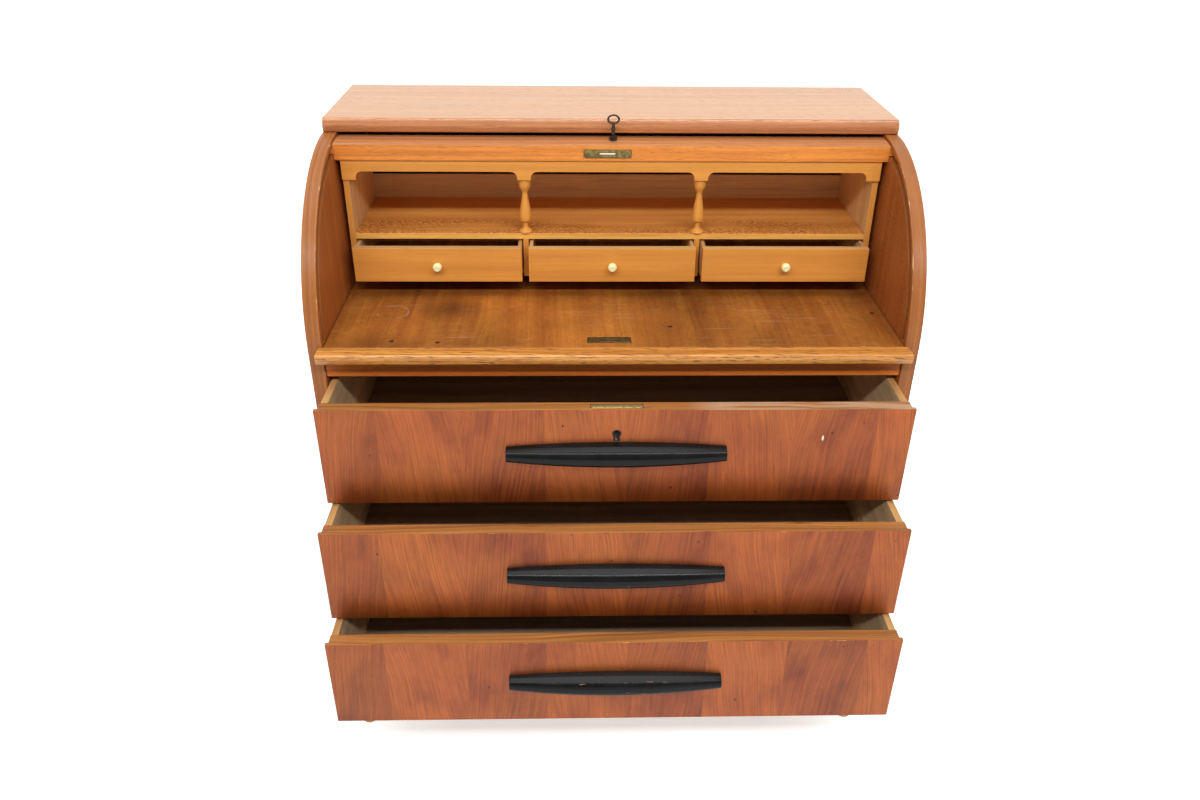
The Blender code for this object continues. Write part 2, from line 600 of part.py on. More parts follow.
def curtain_outline():
    """Slats side by side on canvas: rounded outside, one smooth arc inside."""
    start = LEAD_END_ANGLE + FIT / CURTAIN_INNER
    pitch = (CURTAIN_END_ANGLE - start) / CURTAIN_SLATS
    chamfer = SLAT_GROOVE / 2 / CURTAIN_RADIUS
    low = CURTAIN_RADIUS - SLAT_GROOVE
    outer = []
    for slat in range(CURTAIN_SLATS):
        first = start + slat * pitch
        last = first + pitch
        outer += arc(0, 0, low, first, first, 1)[:1]
        outer += arc(0, 0, CURTAIN_RADIUS, first + chamfer, last - chamfer, 2)
    outer += arc(0, 0, low, CURTAIN_END_ANGLE, CURTAIN_END_ANGLE, 1)[:1]
    return outer + arc(0, 0, CURTAIN_INNER, CURTAIN_END_ANGLE, start, CURTAIN_SLATS)


def lock_outline(clearance):
    """The lock seen from its key's side: a long plate with the case behind its middle."""
    plate = LOCK_PLATE_LENGTH / 2 + clearance
    case = LOCK_CASE_LENGTH / 2 + clearance
    step = LOCK_PLATE_THICKNESS + clearance
    depth = LOCK_CASE_DEPTH + clearance
    right = [(plate, step), (case, step), (case, depth)]
    left = [(-x, y) for x, y in right[::-1]]
    front = -clearance
    return [(LOCK_OFFSET_X + x, y) for x, y in [(-plate, front), (plate, front), *right, *left]]


def key_hole(name, radius, low, high, parent):
    shape = turned_shape([(radius, low), (radius, high)])
    made = add_object(name, shape, None, parent)
    made.location = (0, KEY_INSET, 0)
    return made


def lead_rail(looks, roll_top, lock_frame):
    """The roll-top's front rail, with a tongue at each end for the grooves and a pocket for the lock."""
    half = INNER_HALF - LEAD_END_CLEARANCE
    end = LEAD_END_ANGLE
    outline = ring_sector(LEAD_INNER, LEAD_OUTER, OPEN_ANGLE, end, CURVE_STEPS)
    rail = prism("lead_rail", outline, "X", -half, half, looks["teak"], roll_top, True)
    inset = FIT / CURTAIN_INNER
    tongue = ring_sector(CURTAIN_INNER, CURTAIN_RADIUS, OPEN_ANGLE + inset, end - inset, CURVE_STEPS)
    reach = CURTAIN_HALF_WIDTH
    combine(rail, prism("rail_tongue", tongue, "X", -reach, reach, None, roll_top), "UNION")
    half_lock = LOCK_WIDTH / 2 + FIT
    pocket = prism("lock_pocket", lock_outline(FIT), "Z", LOCK_RADIUS - half_lock, LOCK_RADIUS + half_lock,
                   None, lock_frame)
    combine(rail, pocket, "DIFFERENCE")
    radius = KEY_SHAFT_RADIUS + 2 * KEY_CLEARANCE
    hole = key_hole("key_way", radius, LOCK_RADIUS, LEAD_OUTER + KEY_COLLAR_HEIGHT, lock_frame)
    combine(rail, hole, "DIFFERENCE")


def roll_top_lock(looks, lock_frame):
    """Lock body with its plate, and the bolt that slides in it."""
    half = LOCK_WIDTH / 2
    case_top = LOCK_RADIUS + half
    lock = prism("tambour_lock", lock_outline(0), "Z", LOCK_RADIUS - half, case_top, looks["brass"],
                 lock_frame)
    reach_x = BOLT_LENGTH / 2
    reach_z = BOLT_THICKNESS / 2
    play = BOLT_CLEARANCE

    def across(extra):
        return ((LOCK_OFFSET_X - reach_x - extra, LOCK_OFFSET_X + reach_x + extra),
                (LOCK_RADIUS - reach_z - extra, LOCK_RADIUS + reach_z + extra))

    way_x, way_z = across(play)
    way = block("bolt_way", way_x, (-BOLT_THROW, BOLT_DEPTH + play), way_z, None, lock_frame)
    combine(lock, way, "DIFFERENCE")
    foot = case_top - KEY_REACH - FIT
    hole = key_hole("key_socket", KEY_SHAFT_RADIUS + KEY_CLEARANCE, foot, LEAD_OUTER, lock_frame)
    combine(lock, hole, "DIFFERENCE")
    bolt_x, bolt_z = across(0)
    block("lock_bolt", bolt_x, (FIT, BOLT_DEPTH), bolt_z, looks["steel"], lock_frame)


def key(looks, lock_frame):
    """A key with an oval ring bow, a collar that stops on the rail, and a shaft into the lock."""
    foot = LOCK_RADIUS + LOCK_WIDTH / 2 - KEY_REACH
    collar = LEAD_OUTER + 2 * FIT
    shaft = collar + KEY_COLLAR_HEIGHT
    bow = shaft + KEY_SHAFT_LENGTH
    profile = [(KEY_SHAFT_RADIUS, foot), (KEY_SHAFT_RADIUS, collar),
               (KEY_COLLAR_RADIUS * KEY_COLLAR_TAPER, collar), (KEY_COLLAR_RADIUS, shaft - FIT),
               (KEY_SHAFT_RADIUS, shaft), (KEY_SHAFT_RADIUS, bow)]
    made = add_object("lock_key", turned_shape(profile), looks["iron"], lock_frame, True)
    made.location = (0, KEY_INSET, 0)

    wide = KEY_BOW_WIDTH / 2 - KEY_WIRE_RADIUS
    tall = KEY_BOW_HEIGHT / 2 - KEY_WIRE_RADIUS
    ring = bmesh.new()
    bmesh.ops.create_circle(ring, segments=CURVE_STEPS, radius=KEY_WIRE_RADIUS)
    bmesh.ops.translate(ring, vec=(wide, 0, 0), verts=ring.verts)
    bmesh.ops.spin(ring, geom=ring.verts[:] + ring.edges[:], cent=(0, 0, 0), axis=(0, 1, 0), angle=2 * pi,
                   steps=ROUND_STEPS, use_merge=True)
    bmesh.ops.scale(ring, vec=(1, 1, tall / wide), verts=ring.verts)
    bmesh.ops.translate(ring, vec=(0, 0, bow + tall - KEY_WIRE_RADIUS), verts=ring.verts)
    bow_ring = add_object("key_bow", ring, None, lock_frame)
    bow_ring.location = made.location
    combine(made, bow_ring, "UNION")


def roll_top_pieces(looks, roll_top):
    lock_frame = add_empty("lock_frame", parent=roll_top, tilt=pi / 2 - OPEN_ANGLE)
    prism("tambour_curtain", curtain_outline(), "X", -CURTAIN_HALF_WIDTH, CURTAIN_HALF_WIDTH, looks["teak"],
          roll_top)
    lead_rail(looks, roll_top, lock_frame)
    roll_top_lock(looks, lock_frame)
    key(looks, lock_frame)


# Large drawers


def drawer_front(word, looks, drawer):
    """A veneered front whose facing laps the carcase, grooved behind for the drawer's bottom."""
    lip = INNER_HALF + LIP_OVERLAP
    core = INNER_HALF - DRAWER_CLEARANCE
    outline = [(-lip, 0), (lip, 0), (lip, LIP_THICKNESS), (core, LIP_THICKNESS), (core, FRONT_THICKNESS),
               (-core, FRONT_THICKNESS), (-core, LIP_THICKNESS), (-lip, LIP_THICKNESS)]
    front = prism(word + "_drawer_front", outline, "Z", 0, FRONT_HEIGHT, looks["flame_veneer"], drawer)
    low = DRAWER_SIDE_LIFT + DRAWER_BOTTOM_LIFT
    reach = core - DRAWER_SIDE_THICKNESS + DRAWER_GROOVE_DEPTH
    groove = block(word + "_front_groove", (-reach, reach),
                   (FRONT_THICKNESS - DRAWER_GROOVE_DEPTH, FRONT_THICKNESS + DRAWER_GROOVE_DEPTH),
                   (low - FIT, low + DRAWER_BOTTOM_THICKNESS + FIT), None, drawer)
    combine(front, groove, "DIFFERENCE")
    return front


def drawer_box(word, looks, drawer):
    """Sides with a groove for the bottom, the back that stands on the bottom, and the bottom."""
    outer = INNER_HALF - DRAWER_CLEARANCE
    inner = outer - DRAWER_SIDE_THICKNESS
    groove = inner + DRAWER_GROOVE_DEPTH
    low = DRAWER_SIDE_LIFT
    top = FRONT_HEIGHT - DRAWER_SIDE_DROP
    floor = low + DRAWER_BOTTOM_LIFT
    floor_top = floor + DRAWER_BOTTOM_THICKNESS
    near = FRONT_THICKNESS + FIT
    far = FRONT_THICKNESS + DRAWER_LENGTH
    section = [(outer, low), (outer, top), (inner, top), (inner, floor_top + FIT), (groove, floor_top + FIT),
               (groove, floor - FIT), (inner, floor - FIT), (inner, low)]
    mirrored = [(-x, z) for x, z in section]
    wood = looks["drawer_pine"]
    prism(word + "_drawer_right_side", section, "Y", near, far, wood, drawer)
    prism(word + "_drawer_left_side", mirrored, "Y", near, far, wood, drawer)
    back = inner - FIT
    block(word + "_drawer_back", (-back, back), (far - DRAWER_BACK_THICKNESS, far),
          (floor_top + FIT, top - DRAWER_BACK_DROP), wood, drawer)
    edge = groove - FIT
    block(word + "_drawer_bottom", (-edge, edge), (FRONT_THICKNESS - DRAWER_GROOVE_DEPTH + FIT, far),
          (floor, floor_top), wood, drawer)


def handle(word, rise, looks, drawer):
    """A boat-shaped pull: thickest in its middle, slimmer towards its flat ends."""
    half = HANDLE_LENGTH / 2
    section = [(-HANDLE_DEPTH * out, HANDLE_HALF_HEIGHT * up) for out, up in HANDLE_SECTION]
    shape = prism_shape(section, "X", -half, half)
    long_edges = [edge for edge in shape.edges if abs(edge.verts[0].co.x - edge.verts[1].co.x) > half]
    bmesh.ops.subdivide_edges(shape, edges=long_edges, cuts=2 * CURVE_STEPS - 1, use_grid_fill=True)
    for vert in shape.verts:
        slimming = 1 - (1 - HANDLE_END_SHARE) * (vert.co.x / half) ** 2
        vert.co.y *= slimming
        vert.co.z *= slimming
    made = add_object(word + "_drawer_handle", shape, looks["black_lacquer"], drawer, True)
    made.location = (0, -FIT, FRONT_HEIGHT / 2 + rise)


def keyhole_outline(clearance):
    """A round eye with a straight tab below, as (x, height) about the eye's centre."""
    radius = KEYHOLE_RADIUS + clearance
    tab = KEYHOLE_TAB_WIDTH / 2 + clearance
    foot = KEYHOLE_RADIUS - KEYHOLE_HEIGHT - clearance
    meet = asin(tab / radius)
    sweep = 2 * (pi - meet)
    turns = [meet + sweep * n / ROUND_STEPS for n in range(ROUND_STEPS + 1)]
    eye = [(radius * sin(turn), -radius * cos(turn)) for turn in turns]
    return eye + [(-tab, foot), (tab, foot)]


def drawer_lock_shapes(clearance):
    """The lock's plate and case as one outline of (x, height), measured down from the front's top edge."""
    plate = DRAWER_LOCK_PLATE / 2 + clearance
    case = DRAWER_LOCK_CASE / 2 + clearance
    step = -LOCK_PLATE_THICKNESS - clearance
    foot = -DRAWER_LOCK_CASE_HEIGHT - clearance
    right = [(plate, clearance), (plate, step), (case, step), (case, foot)]
    return right + [(-x, z) for x, z in right[::-1]]


def drawer_lock(word, looks, drawer, front):
    """A mortise lock let into the front's top edge, with a keyhole sleeve through the veneer."""
    frame = add_empty(word + "_drawer_lock_frame", (0, 0, FRONT_HEIGHT), drawer)
    near = DRAWER_LOCK_SETBACK
    far = near + DRAWER_LOCK_THICKNESS

    def lock_parts(name, clearance, material, reach):
        outline = drawer_lock_shapes(clearance)
        body = prism(name, outline, "Y", near - clearance, far + clearance, material, frame)
        eye = [(x, z - KEYHOLE_DROP) for x, z in keyhole_outline(clearance)]
        sleeve = prism(name + "_sleeve", eye, "Y", -reach, (near + far) / 2, None, frame)
        return body, sleeve

    lock, sleeve = lock_parts(word + "_drawer_lock", 0, looks["iron"], 0)
    combine(lock, sleeve, "UNION")
    for room in lock_parts(word + "_lock_room", FIT, None, FRONT_THICKNESS):
        combine(front, room, "DIFFERENCE")


def large_drawers(looks, desk):
    for word, low, pulled, rise in zip(("bottom", "middle", "top"), FRONT_BOTTOMS, PULLED, HANDLE_RISES):
        drawer = add_empty(word + "_drawer", (0, CLOSED_FACE_Y - pulled, low), desk)
        front = drawer_front(word, looks, drawer)
        drawer_box(word, looks, drawer)
        handle(word, rise, looks, drawer)
        if word == "top":
            drawer_lock(word, looks, drawer, front)


# Small drawers


def tray_shape(half, near, far, height):
    """An open box: a block whose top is inset by the wall and pushed down to the bottom."""
    shape = block_shape((-half, half), (near, far), (0, height))
    top = [face for face in shape.faces if face.normal.z > 0.5]
    bmesh.ops.inset_region(shape, faces=top, thickness=SMALL_WALL)
    grown = bmesh.ops.extrude_face_region(shape, geom=top)["geom"]
    floor = [item for item in grown if isinstance(item, bmesh.types.BMVert)]
    bmesh.ops.translate(shape, vec=(0, 0, SMALL_BOTTOM - height), verts=floor)
    bmesh.ops.delete(shape, geom=top, context="FACES_ONLY")
    return shape


def knob_profile():
    """A turned knob from its foot outwards: stem, round head, slightly domed face."""
    stem = [(KNOB_STEM_RADIUS, FIT), (KNOB_STEM_RADIUS, KNOB_HEIGHT * KNOB_STEM_SHARE)]
    return stem + [(KNOB_RADIUS * width, KNOB_HEIGHT * height) for width, height in KNOB_HEAD]


def small_drawers(looks, desk):
    half = SMALL_OPENING_WIDTH / 2 - SMALL_CLEARANCE
    height = SMALL_OPENING - 2 * SMALL_CLEARANCE
    tray_half = half - SMALL_CLEARANCE
    far = GALLERY_DEPTH_Y - GALLERY_FRONT_Y - SMALL_REAR_CLEARANCE
    for word, place in (("left", -1), ("middle", 0), ("right", 1)):
        home = (place * SMALL_PITCH, GALLERY_FRONT_Y - SMALL_PULLED, FLOOR_TOP)
        drawer = add_empty(word + "_small_drawer", home, desk)
        low = SMALL_CLEARANCE
        block(word + "_small_drawer_front", (-half, half), (0, SMALL_FRONT_THICKNESS), (low, low + height),
              looks["beech"], drawer)
        tray = tray_shape(tray_half, SMALL_FRONT_THICKNESS + FIT, far, height - SMALL_TRAY_DROP)
        made = add_object(word + "_small_drawer_tray", tray, looks["drawer_pine"], drawer)
        made.location.z = FIT
        knob = turned_shape(knob_profile())
        bmesh.ops.rotate(knob, cent=(0, 0, 0), matrix=Matrix.Rotation(pi / 2, 3, "X"), verts=knob.verts)
        made = add_object(word + "_small_drawer_knob", knob, looks["cream"], drawer, True)
        made.location.z = low + height / 2


def main():
    clear_scene()
    looks = make_finishes()
    desk = add_empty("desk", (0, -CENTRE_Y, 0))
    roll_top = add_empty("roll_top", (0, AXIS_Y, AXIS_Z), desk)
    carcase(looks, desk, roll_top)
    gallery(looks, desk, roll_top)
    writing_slide(looks, desk)
    roll_top_pieces(looks, roll_top)
    large_drawers(looks, desk)
    small_drawers(looks, desk)
    print("roll-top travel", round(degrees(OPEN_ANGLE - CLOSED_ANGLE), 3), "degrees")


main()
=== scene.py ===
"""Looks of a roll-top writing desk: veneers, softened edges, fittings, a plain stage and the camera.

Laid out as an add-on: property groups hold the sizes and colours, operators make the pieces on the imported
frame, and a panel lists them. Metres, +Z up, the desk's front faces -Y.
"""

import json
import random
from math import atan2, copysign, cos, hypot, pi, radians, sin

import bmesh
import bpy
from bpy.props import FloatProperty, FloatVectorProperty, IntProperty, PointerProperty
from mathutils import Matrix, Vector


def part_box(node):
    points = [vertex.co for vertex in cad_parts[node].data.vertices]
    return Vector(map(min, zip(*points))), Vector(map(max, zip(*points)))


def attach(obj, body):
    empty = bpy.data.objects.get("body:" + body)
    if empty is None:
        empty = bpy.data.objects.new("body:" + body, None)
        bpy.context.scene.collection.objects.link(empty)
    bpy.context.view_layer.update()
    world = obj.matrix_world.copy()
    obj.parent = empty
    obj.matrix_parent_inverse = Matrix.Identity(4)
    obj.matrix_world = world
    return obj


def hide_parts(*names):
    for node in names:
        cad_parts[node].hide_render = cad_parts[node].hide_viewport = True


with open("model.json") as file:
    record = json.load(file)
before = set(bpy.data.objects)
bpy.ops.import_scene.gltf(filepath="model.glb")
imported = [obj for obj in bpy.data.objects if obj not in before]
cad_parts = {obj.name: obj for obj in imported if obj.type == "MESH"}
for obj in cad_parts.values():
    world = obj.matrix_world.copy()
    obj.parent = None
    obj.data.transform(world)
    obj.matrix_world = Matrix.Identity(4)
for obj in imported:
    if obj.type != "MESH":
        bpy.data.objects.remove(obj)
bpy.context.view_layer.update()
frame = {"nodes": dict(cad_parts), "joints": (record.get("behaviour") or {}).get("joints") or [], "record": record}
RECORD = frame["record"]
BODY_OF = {node: body for body, nodes in RECORD["behaviour"]["bodies"].items() for node in nodes}
JOINTS = {joint["name"]: joint for joint in frame["joints"]}
ROLL_AXIS = Vector(JOINTS["roll_top_roll"]["pos_m"])

bl_info = {
    "name": "Roll-top writing desk",
    "version": (1, 0, 0),
    "blender": (4, 5, 0),
    "location": "View3D > Sidebar > Desk",
    "description": "Makes the finished pieces of a roll-top writing desk around its packed frame",
    "category": "Object",
}

# Tolerances and steps of the mesh work
ORIGIN = (0.0, 0.0, 0.0)
UP = Vector((0, 0, 1))
MERGE = 0.00001
FLAT = radians(0.5)
SHARP = radians(30)
SHADE_SHARP = radians(50)
EDGE_STEPS = 3
BAND_STEPS = 5
SLAT_STEPS = 4
METAL_STEPS = 2
PLATE_END_STEPS = 8
ROUND_STEPS = 48
TURNED_STEPS = 12
SMOOTH_LEVELS = 2

# Least part of a face's normal that counts as looking a way
SOME = 0.3
HALF = 0.5
FULL = 0.9


def number(name, default, description, **more):
    return FloatProperty(name=name, description=description, default=default, **more)


def length(name, default, description):
    return number(name, default, description, unit="LENGTH", precision=5)


def angle(name, degrees, description):
    return number(name, radians(degrees), description, subtype="ANGLE")


def colour(name, default, description):
    return FloatVectorProperty(name=name, description=description, default=default, size=3, subtype="COLOR",
                               min=0.0, max=1.0)


class DeskSizes(bpy.types.PropertyGroup):
    """Sizes of the fine detail."""

    board_edge: length("Board edge", 0.0010, "Radius of the edges of the carcase's boards")
    thin_edge: length("Thin edge", 0.0006, "Radius of the edges of thin boards and drawers")
    metal_edge: length("Metal edge", 0.0003, "Radius of the edges of metal fittings")
    leaf: length("Veneer leaf", 0.1205, "Width of one leaf of the drawer fronts' veneer")
    leaf_start: length("First joint", -0.3450, "Where the first joint of the leaves lies, across the desk")
    slats: IntProperty(name="Slats", description="Slats of the tambour", default=15, min=1)
    slat_gap: length("Slat gap", 0.0003, "Gap between two slats at the canvas")
    slat_round: length("Slat round", 0.0024, "Rounding of a slat's outer edges")
    canvas: length("Canvas", 0.0010, "Thickness of the canvas behind the slats")
    band_round: length("Band edge", 0.0045, "Radius of the sides' front edge, towards the inside")
    nosing_round: length("Nosing edge", 0.0022, "Radius of the writing board's front edges")
    plate_round: length("Plate ends", 0.0068, "Radius of the round ends of the roll-top's lock plate")
    drawer_plate_round: length("Drawer plate ends", 0.0052, "Radius of the ends of the drawer's lock plate")
    strike_round: length("Strike ends", 0.0042, "Radius of the strike plate's corners")
    screw: length("Screw head", 0.0029, "Radius of the screw heads in the lock plates")
    screw_inset: length("Screw inset", 0.0068, "From the end of a lock plate to its screw")
    nail: length("Nail head", 0.0022, "Radius of the nail heads in the back panel")
    nail_pitch: length("Nail spacing", 0.090, "Distance between two nails of the back panel")
    keyhole_rim: length("Keyhole rim", 0.0014, "Wall of the keyhole's sleeve")
    keyhole_depth: length("Keyhole depth", 0.0050, "How deep the keyhole shows")
    key_wire: length("Key wire", 0.00165, "Radius of the wire of the key's bow")
    key_shaft: length("Key shaft", 0.0028, "Radius of the key's shaft above its collar")


class DeskColours(bpy.types.PropertyGroup):
    """Colours of the finishes. Those of the woods are added from their table."""

    leaf_gold: colour("Golden leaf", (0.42, 0.130, 0.014), "Golden patches of the drawer fronts")
    rubbed: colour("Rubbed", (0.48, 0.290, 0.170), "Pale worn patches and scratches")
    worn_wood: colour("Worn wood", (0.62, 0.360, 0.170), "Bare wood where edges are worn")
    chip: colour("Chip", (0.75, 0.60, 0.42), "Bare core where the top drawer's veneer is chipped")
    hole: colour("Hole", (0.02, 0.012, 0.008), "Small holes in the writing board")
    nick: colour("Nick", (0.42, 0.190, 0.080), "Wood that shows through the lacquer")
    lacquer: colour("Black lacquer", (0.005, 0.005, 0.005), "Lacquer of the handles")
    brass: colour("Brass", (0.24, 0.190, 0.072), "Brass of the roll-top's lock plate")
    patina: colour("Patina", (0.175, 0.140, 0.055), "Tarnish on the brass")
    pale_brass: colour("Pale brass", (0.50, 0.385, 0.165), "Rubbed brass of the drawer's lock plate")
    pale_patina: colour("Pale patina", (0.26, 0.190, 0.078), "Tarnish on the drawer's lock plate")
    strike: colour("Strike plate", (0.165, 0.122, 0.048), "Dark brass of the strike plate")
    strike_patina: colour("Strike patina", (0.095, 0.070, 0.027), "Tarnish on the strike plate")
    steel: colour("Steel", (0.68, 0.640, 0.560), "Steel of the bolt")
    iron: colour("Iron", (0.060, 0.051, 0.043), "Iron of the key and the drawer lock")
    rust: colour("Rust", (0.060, 0.033, 0.020), "Tarnish on the iron")
    cream: colour("Cream", (0.93, 0.850, 0.450), "Plastic of the knobs")
    canvas: colour("Canvas", (0.42, 0.330, 0.210), "Canvas behind the slats")


# Light and dark grain of each wood, and where it shows
WOODS = {
    "teak": ((0.60, 0.255, 0.100), (0.43, 0.155, 0.055), "the carcase"),
    "band": ((0.43, 0.155, 0.040), (0.28, 0.090, 0.022), "the sides' front bands"),
    # The top's colours are the carcase teak, painted paler with the sheen of its grazing reflection
    "top": ((0.77, 0.415, 0.195), (0.64, 0.315, 0.138), "the top, painted paler as its sheen"),
    "rail": ((0.88, 0.310, 0.050), (0.66, 0.205, 0.030), "the lead rail"),
    "red": ((0.58, 0.160, 0.022), (0.42, 0.102, 0.014), "the rail under the writing board"),
    "lining": ((0.47, 0.148, 0.033), (0.37, 0.105, 0.022), "the sides' inner faces"),
    "leaf": ((0.375, 0.088, 0.0125), (0.16, 0.025, 0.004), "the drawer fronts"),
    "beech": ((0.74, 0.315, 0.056), (0.65, 0.255, 0.043), "the gallery"),
    "edge": ((0.92, 0.480, 0.110), (0.78, 0.370, 0.075), "the shelf's front edge"),
    "niche": ((0.86, 0.530, 0.220), (0.74, 0.440, 0.185), "the pigeonholes' walls"),
    "shelf": ((0.76, 0.350, 0.082), (0.62, 0.250, 0.052), "the shelf"),
    "oak": ((0.34, 0.122, 0.018), (0.235, 0.066, 0.011), "the writing board"),
    "nosing": ((0.68, 0.300, 0.064), (0.46, 0.165, 0.029), "the writing board's front edge"),
    "core": ((0.47, 0.190, 0.046), (0.22, 0.075, 0.018), "the drawer fronts' edges"),
    "pine": ((0.60, 0.340, 0.125), (0.46, 0.235, 0.080), "the drawer sides' edges"),
    "inside": ((0.84, 0.590, 0.340), (0.63, 0.415, 0.225), "the drawers' sides"),
    # The drawers' backs and bottoms take a darker copy of the drawer wood, painted as the shade inside the drawers
    "bottom": ((0.48, 0.330, 0.210), (0.34, 0.225, 0.135), "the drawers' backs and bottoms"),
    "birch": ((0.66, 0.430, 0.200), (0.50, 0.290, 0.115), "the legs"),
}


def add_woods():
    """Gives the colours a light and a dark grain for each wood."""
    for wood, (light, dark, where) in WOODS.items():
        for shade, value in (("light", light), ("dark", dark)):
            made = colour("%s %s" % (wood.title(), shade), value, "%s grain of %s" % (shade.title(), where))
            DeskColours.__annotations__["%s_%s" % (wood, shade)] = made


add_woods()


class DeskStage(bpy.types.PropertyGroup):
    """Camera, lamps and floor."""

    camera_place: FloatVectorProperty(name="Camera place", description="Where the camera stands", size=3,
                                      default=(-0.06004, -1.37871, 1.40778), subtype="XYZ", unit="LENGTH")
    pitch: angle("Pitch", 30.084, "How far the camera looks down")
    yaw: angle("Yaw", 1.7224, "How far the camera looks to the right")
    roll: angle("Roll", 0.6974, "How far the camera leans")
    focal: number("Focal length", 28.685, "On a sensor 36 mm wide, in millimetres")
    key_power: number("Front lamp", 100.0, "Watts of the long lamp before the desk")
    top_power: number("Top lamp", 150.0, "Watts of the lamp overhead")
    sky: number("Sky", 0.30, "Strength of the even light from all round")
    room: number("Room", 0.35, "How bright the room before the desk looks in reflections")
    floor_lift: number("Floor lift", 0.50, "Extra white of the floor as it is seen")
    far_lift: number("Far lift", 0.9, "Extra white of the floor far from the desk")
    floor_colour: colour("Floor", (0.92, 0.92, 0.92), "Colour of the floor")


def sizes():
    return bpy.context.scene.desk_sizes


def colours():
    return bpy.context.scene.desk_colours


def wood_colours(wood):
    return getattr(colours(), wood + "_light"), getattr(colours(), wood + "_dark")


def rgba(value):
    return (*value, 1.0)


def darker(value, share=0.35):
    return rgba([channel * share for channel in value])


# Shader nodes


class Graph:
    """Places shader nodes in a tree and wires them by value."""

    def __init__(self, tree):
        self.tree = tree

    def feed(self, socket, value):
        if isinstance(value, bpy.types.NodeSocket):
            self.tree.links.new(value, socket)
        else:
            socket.default_value = value

    def add(self, kind, inputs=None, **settings):
        node = self.tree.nodes.new("ShaderNode" + kind)
        for key, value in settings.items():
            setattr(node, key, value)
        for key, value in (inputs or {}).items():
            self.feed(node.inputs[key], value)
        return node

    def math(self, operation, first, second=0.0):
        return self.add("Math", {0: first, 1: second}, operation=operation).outputs[0]

    def times(self, first, second):
        return self.math("MULTIPLY", first, second)

    def plus(self, first, second):
        return self.math("ADD", first, second)

    def minus(self, first, second):
        return self.math("SUBTRACT", first, second)

    def most(self, first, second):
        return self.math("MAXIMUM", first, second)

    def vector(self, operation, first, second):
        return self.add("VectorMath", {0: first, 1: second}, operation=operation).outputs[0]

    def distance(self, first, point):
        return self.add("VectorMath", {0: first, 1: point}, operation="DISTANCE").outputs["Value"]

    def combine(self, x, y, z):
        return self.add("CombineXYZ", {0: x, 1: y, 2: z}).outputs[0]

    def split(self, place):
        return self.add("SeparateXYZ", {0: place}).outputs

    def stretch(self, place, scale, turn=ORIGIN):
        return self.add("Mapping", {"Vector": place, "Scale": scale, "Rotation": turn}).outputs[0]

    def noise(self, place, scale=1.0, detail=2.0, roughness=0.5):
        inputs = {"Vector": place, "Scale": scale, "Detail": detail, "Roughness": roughness}
        return self.add("TexNoise", inputs).outputs["Fac"]

    def cells(self, place):
        return self.add("TexVoronoi", {"Vector": place, "Scale": 1.0}).outputs["Distance"]

    def span(self, value, low, high, to_low=0.0, to_high=1.0):
        inputs = {"Value": value, "From Min": low, "From Max": high, "To Min": to_low, "To Max": to_high}
        return self.add("MapRange", inputs, clamp=True).outputs[0]

    def vary(self, noise, to_low, to_high, reach=0.2):
        """Maps the usual reach of a noise about one half."""
        return self.span(noise, 0.5 - reach, 0.5 + reach, to_low, to_high)

    def mix(self, share, first, second):
        return self.add("Mix", {0: share, 6: first, 7: second}, data_type="RGBA").outputs[2]

    def brighten(self, paint, value):
        return self.add("HueSaturation", {"Color": paint, "Value": value}).outputs[0]

    def ring(self, place, centre, radius, width):
        """A thin ring about a point, broken in places."""
        off = self.math("ABSOLUTE", self.minus(self.distance(place, centre), radius))
        broken = self.span(self.noise(place, scale=55.0), 0.42, 0.58)
        return self.times(self.span(off, width, width * 0.4), broken)

    def bump(self, height, strength, distance):
        inputs = {"Height": height, "Strength": strength, "Distance": distance}
        return self.add("Bump", inputs).outputs[0]

    def attribute(self, name, output):
        return self.add("Attribute", attribute_name=name).outputs[output]

    def object_place(self):
        return self.add("TexCoord").outputs["Object"]

    def group(self, name, **inputs):
        tree = bpy.data.node_groups.get(name) or GROUPS[name](name)
        return self.add("Group", inputs, node_tree=tree).outputs


def new_group(name, inputs, outputs):
    """An empty node group with its sockets: its graph, its inner inputs and its inner outputs."""
    tree = bpy.data.node_groups.new(name, "ShaderNodeTree")
    for label, default in inputs.items():
        kind = "NodeSocketVector" if label == "Place" else "NodeSocketFloat"
        tree.interface.new_socket(label, in_out="INPUT", socket_type=kind).default_value = default
    for label in outputs:
        tree.interface.new_socket(label, in_out="OUTPUT", socket_type="NodeSocketFloat")
    return Graph(tree), tree.nodes.new("NodeGroupInput").outputs, tree.nodes.new("NodeGroupOutput").inputs


# In the groups and finishes, scales are per metre and the other numbers are shares, unless they are named


def wood_grain_group(name):
    """Bands, fine streaks and pores of wood whose grain runs along X."""
    graph, given, out = new_group(name, {"Place": ORIGIN, "Bands": 60.0, "Waver": 0.01, "Reach": 1.0},
                                  ["Band", "Streak", "Pores"])
    slow = graph.noise(graph.stretch(given["Place"], (2.2, 8.0, 8.0)))
    wander = graph.times(graph.minus(slow, 0.5), given["Waver"])
    shifted = graph.vector("ADD", given["Place"], graph.combine(0.0, wander, 0.0))
    rows = graph.combine(given["Reach"], given["Bands"], given["Bands"])
    band = graph.noise(graph.vector("MULTIPLY", shifted, rows), detail=3.0, roughness=0.55)
    graph.feed(out["Band"], graph.span(band, 0.32, 0.68))
    streak = graph.noise(graph.stretch(shifted, (6.0, 480.0, 480.0)), roughness=0.6)
    graph.feed(out["Streak"], graph.span(streak, 0.25, 0.75))
    pores = graph.noise(graph.stretch(shifted, (55.0, 1500.0, 1500.0)), detail=1.0)
    graph.feed(out["Pores"], graph.span(pores, 0.58, 0.72))
    return graph.tree


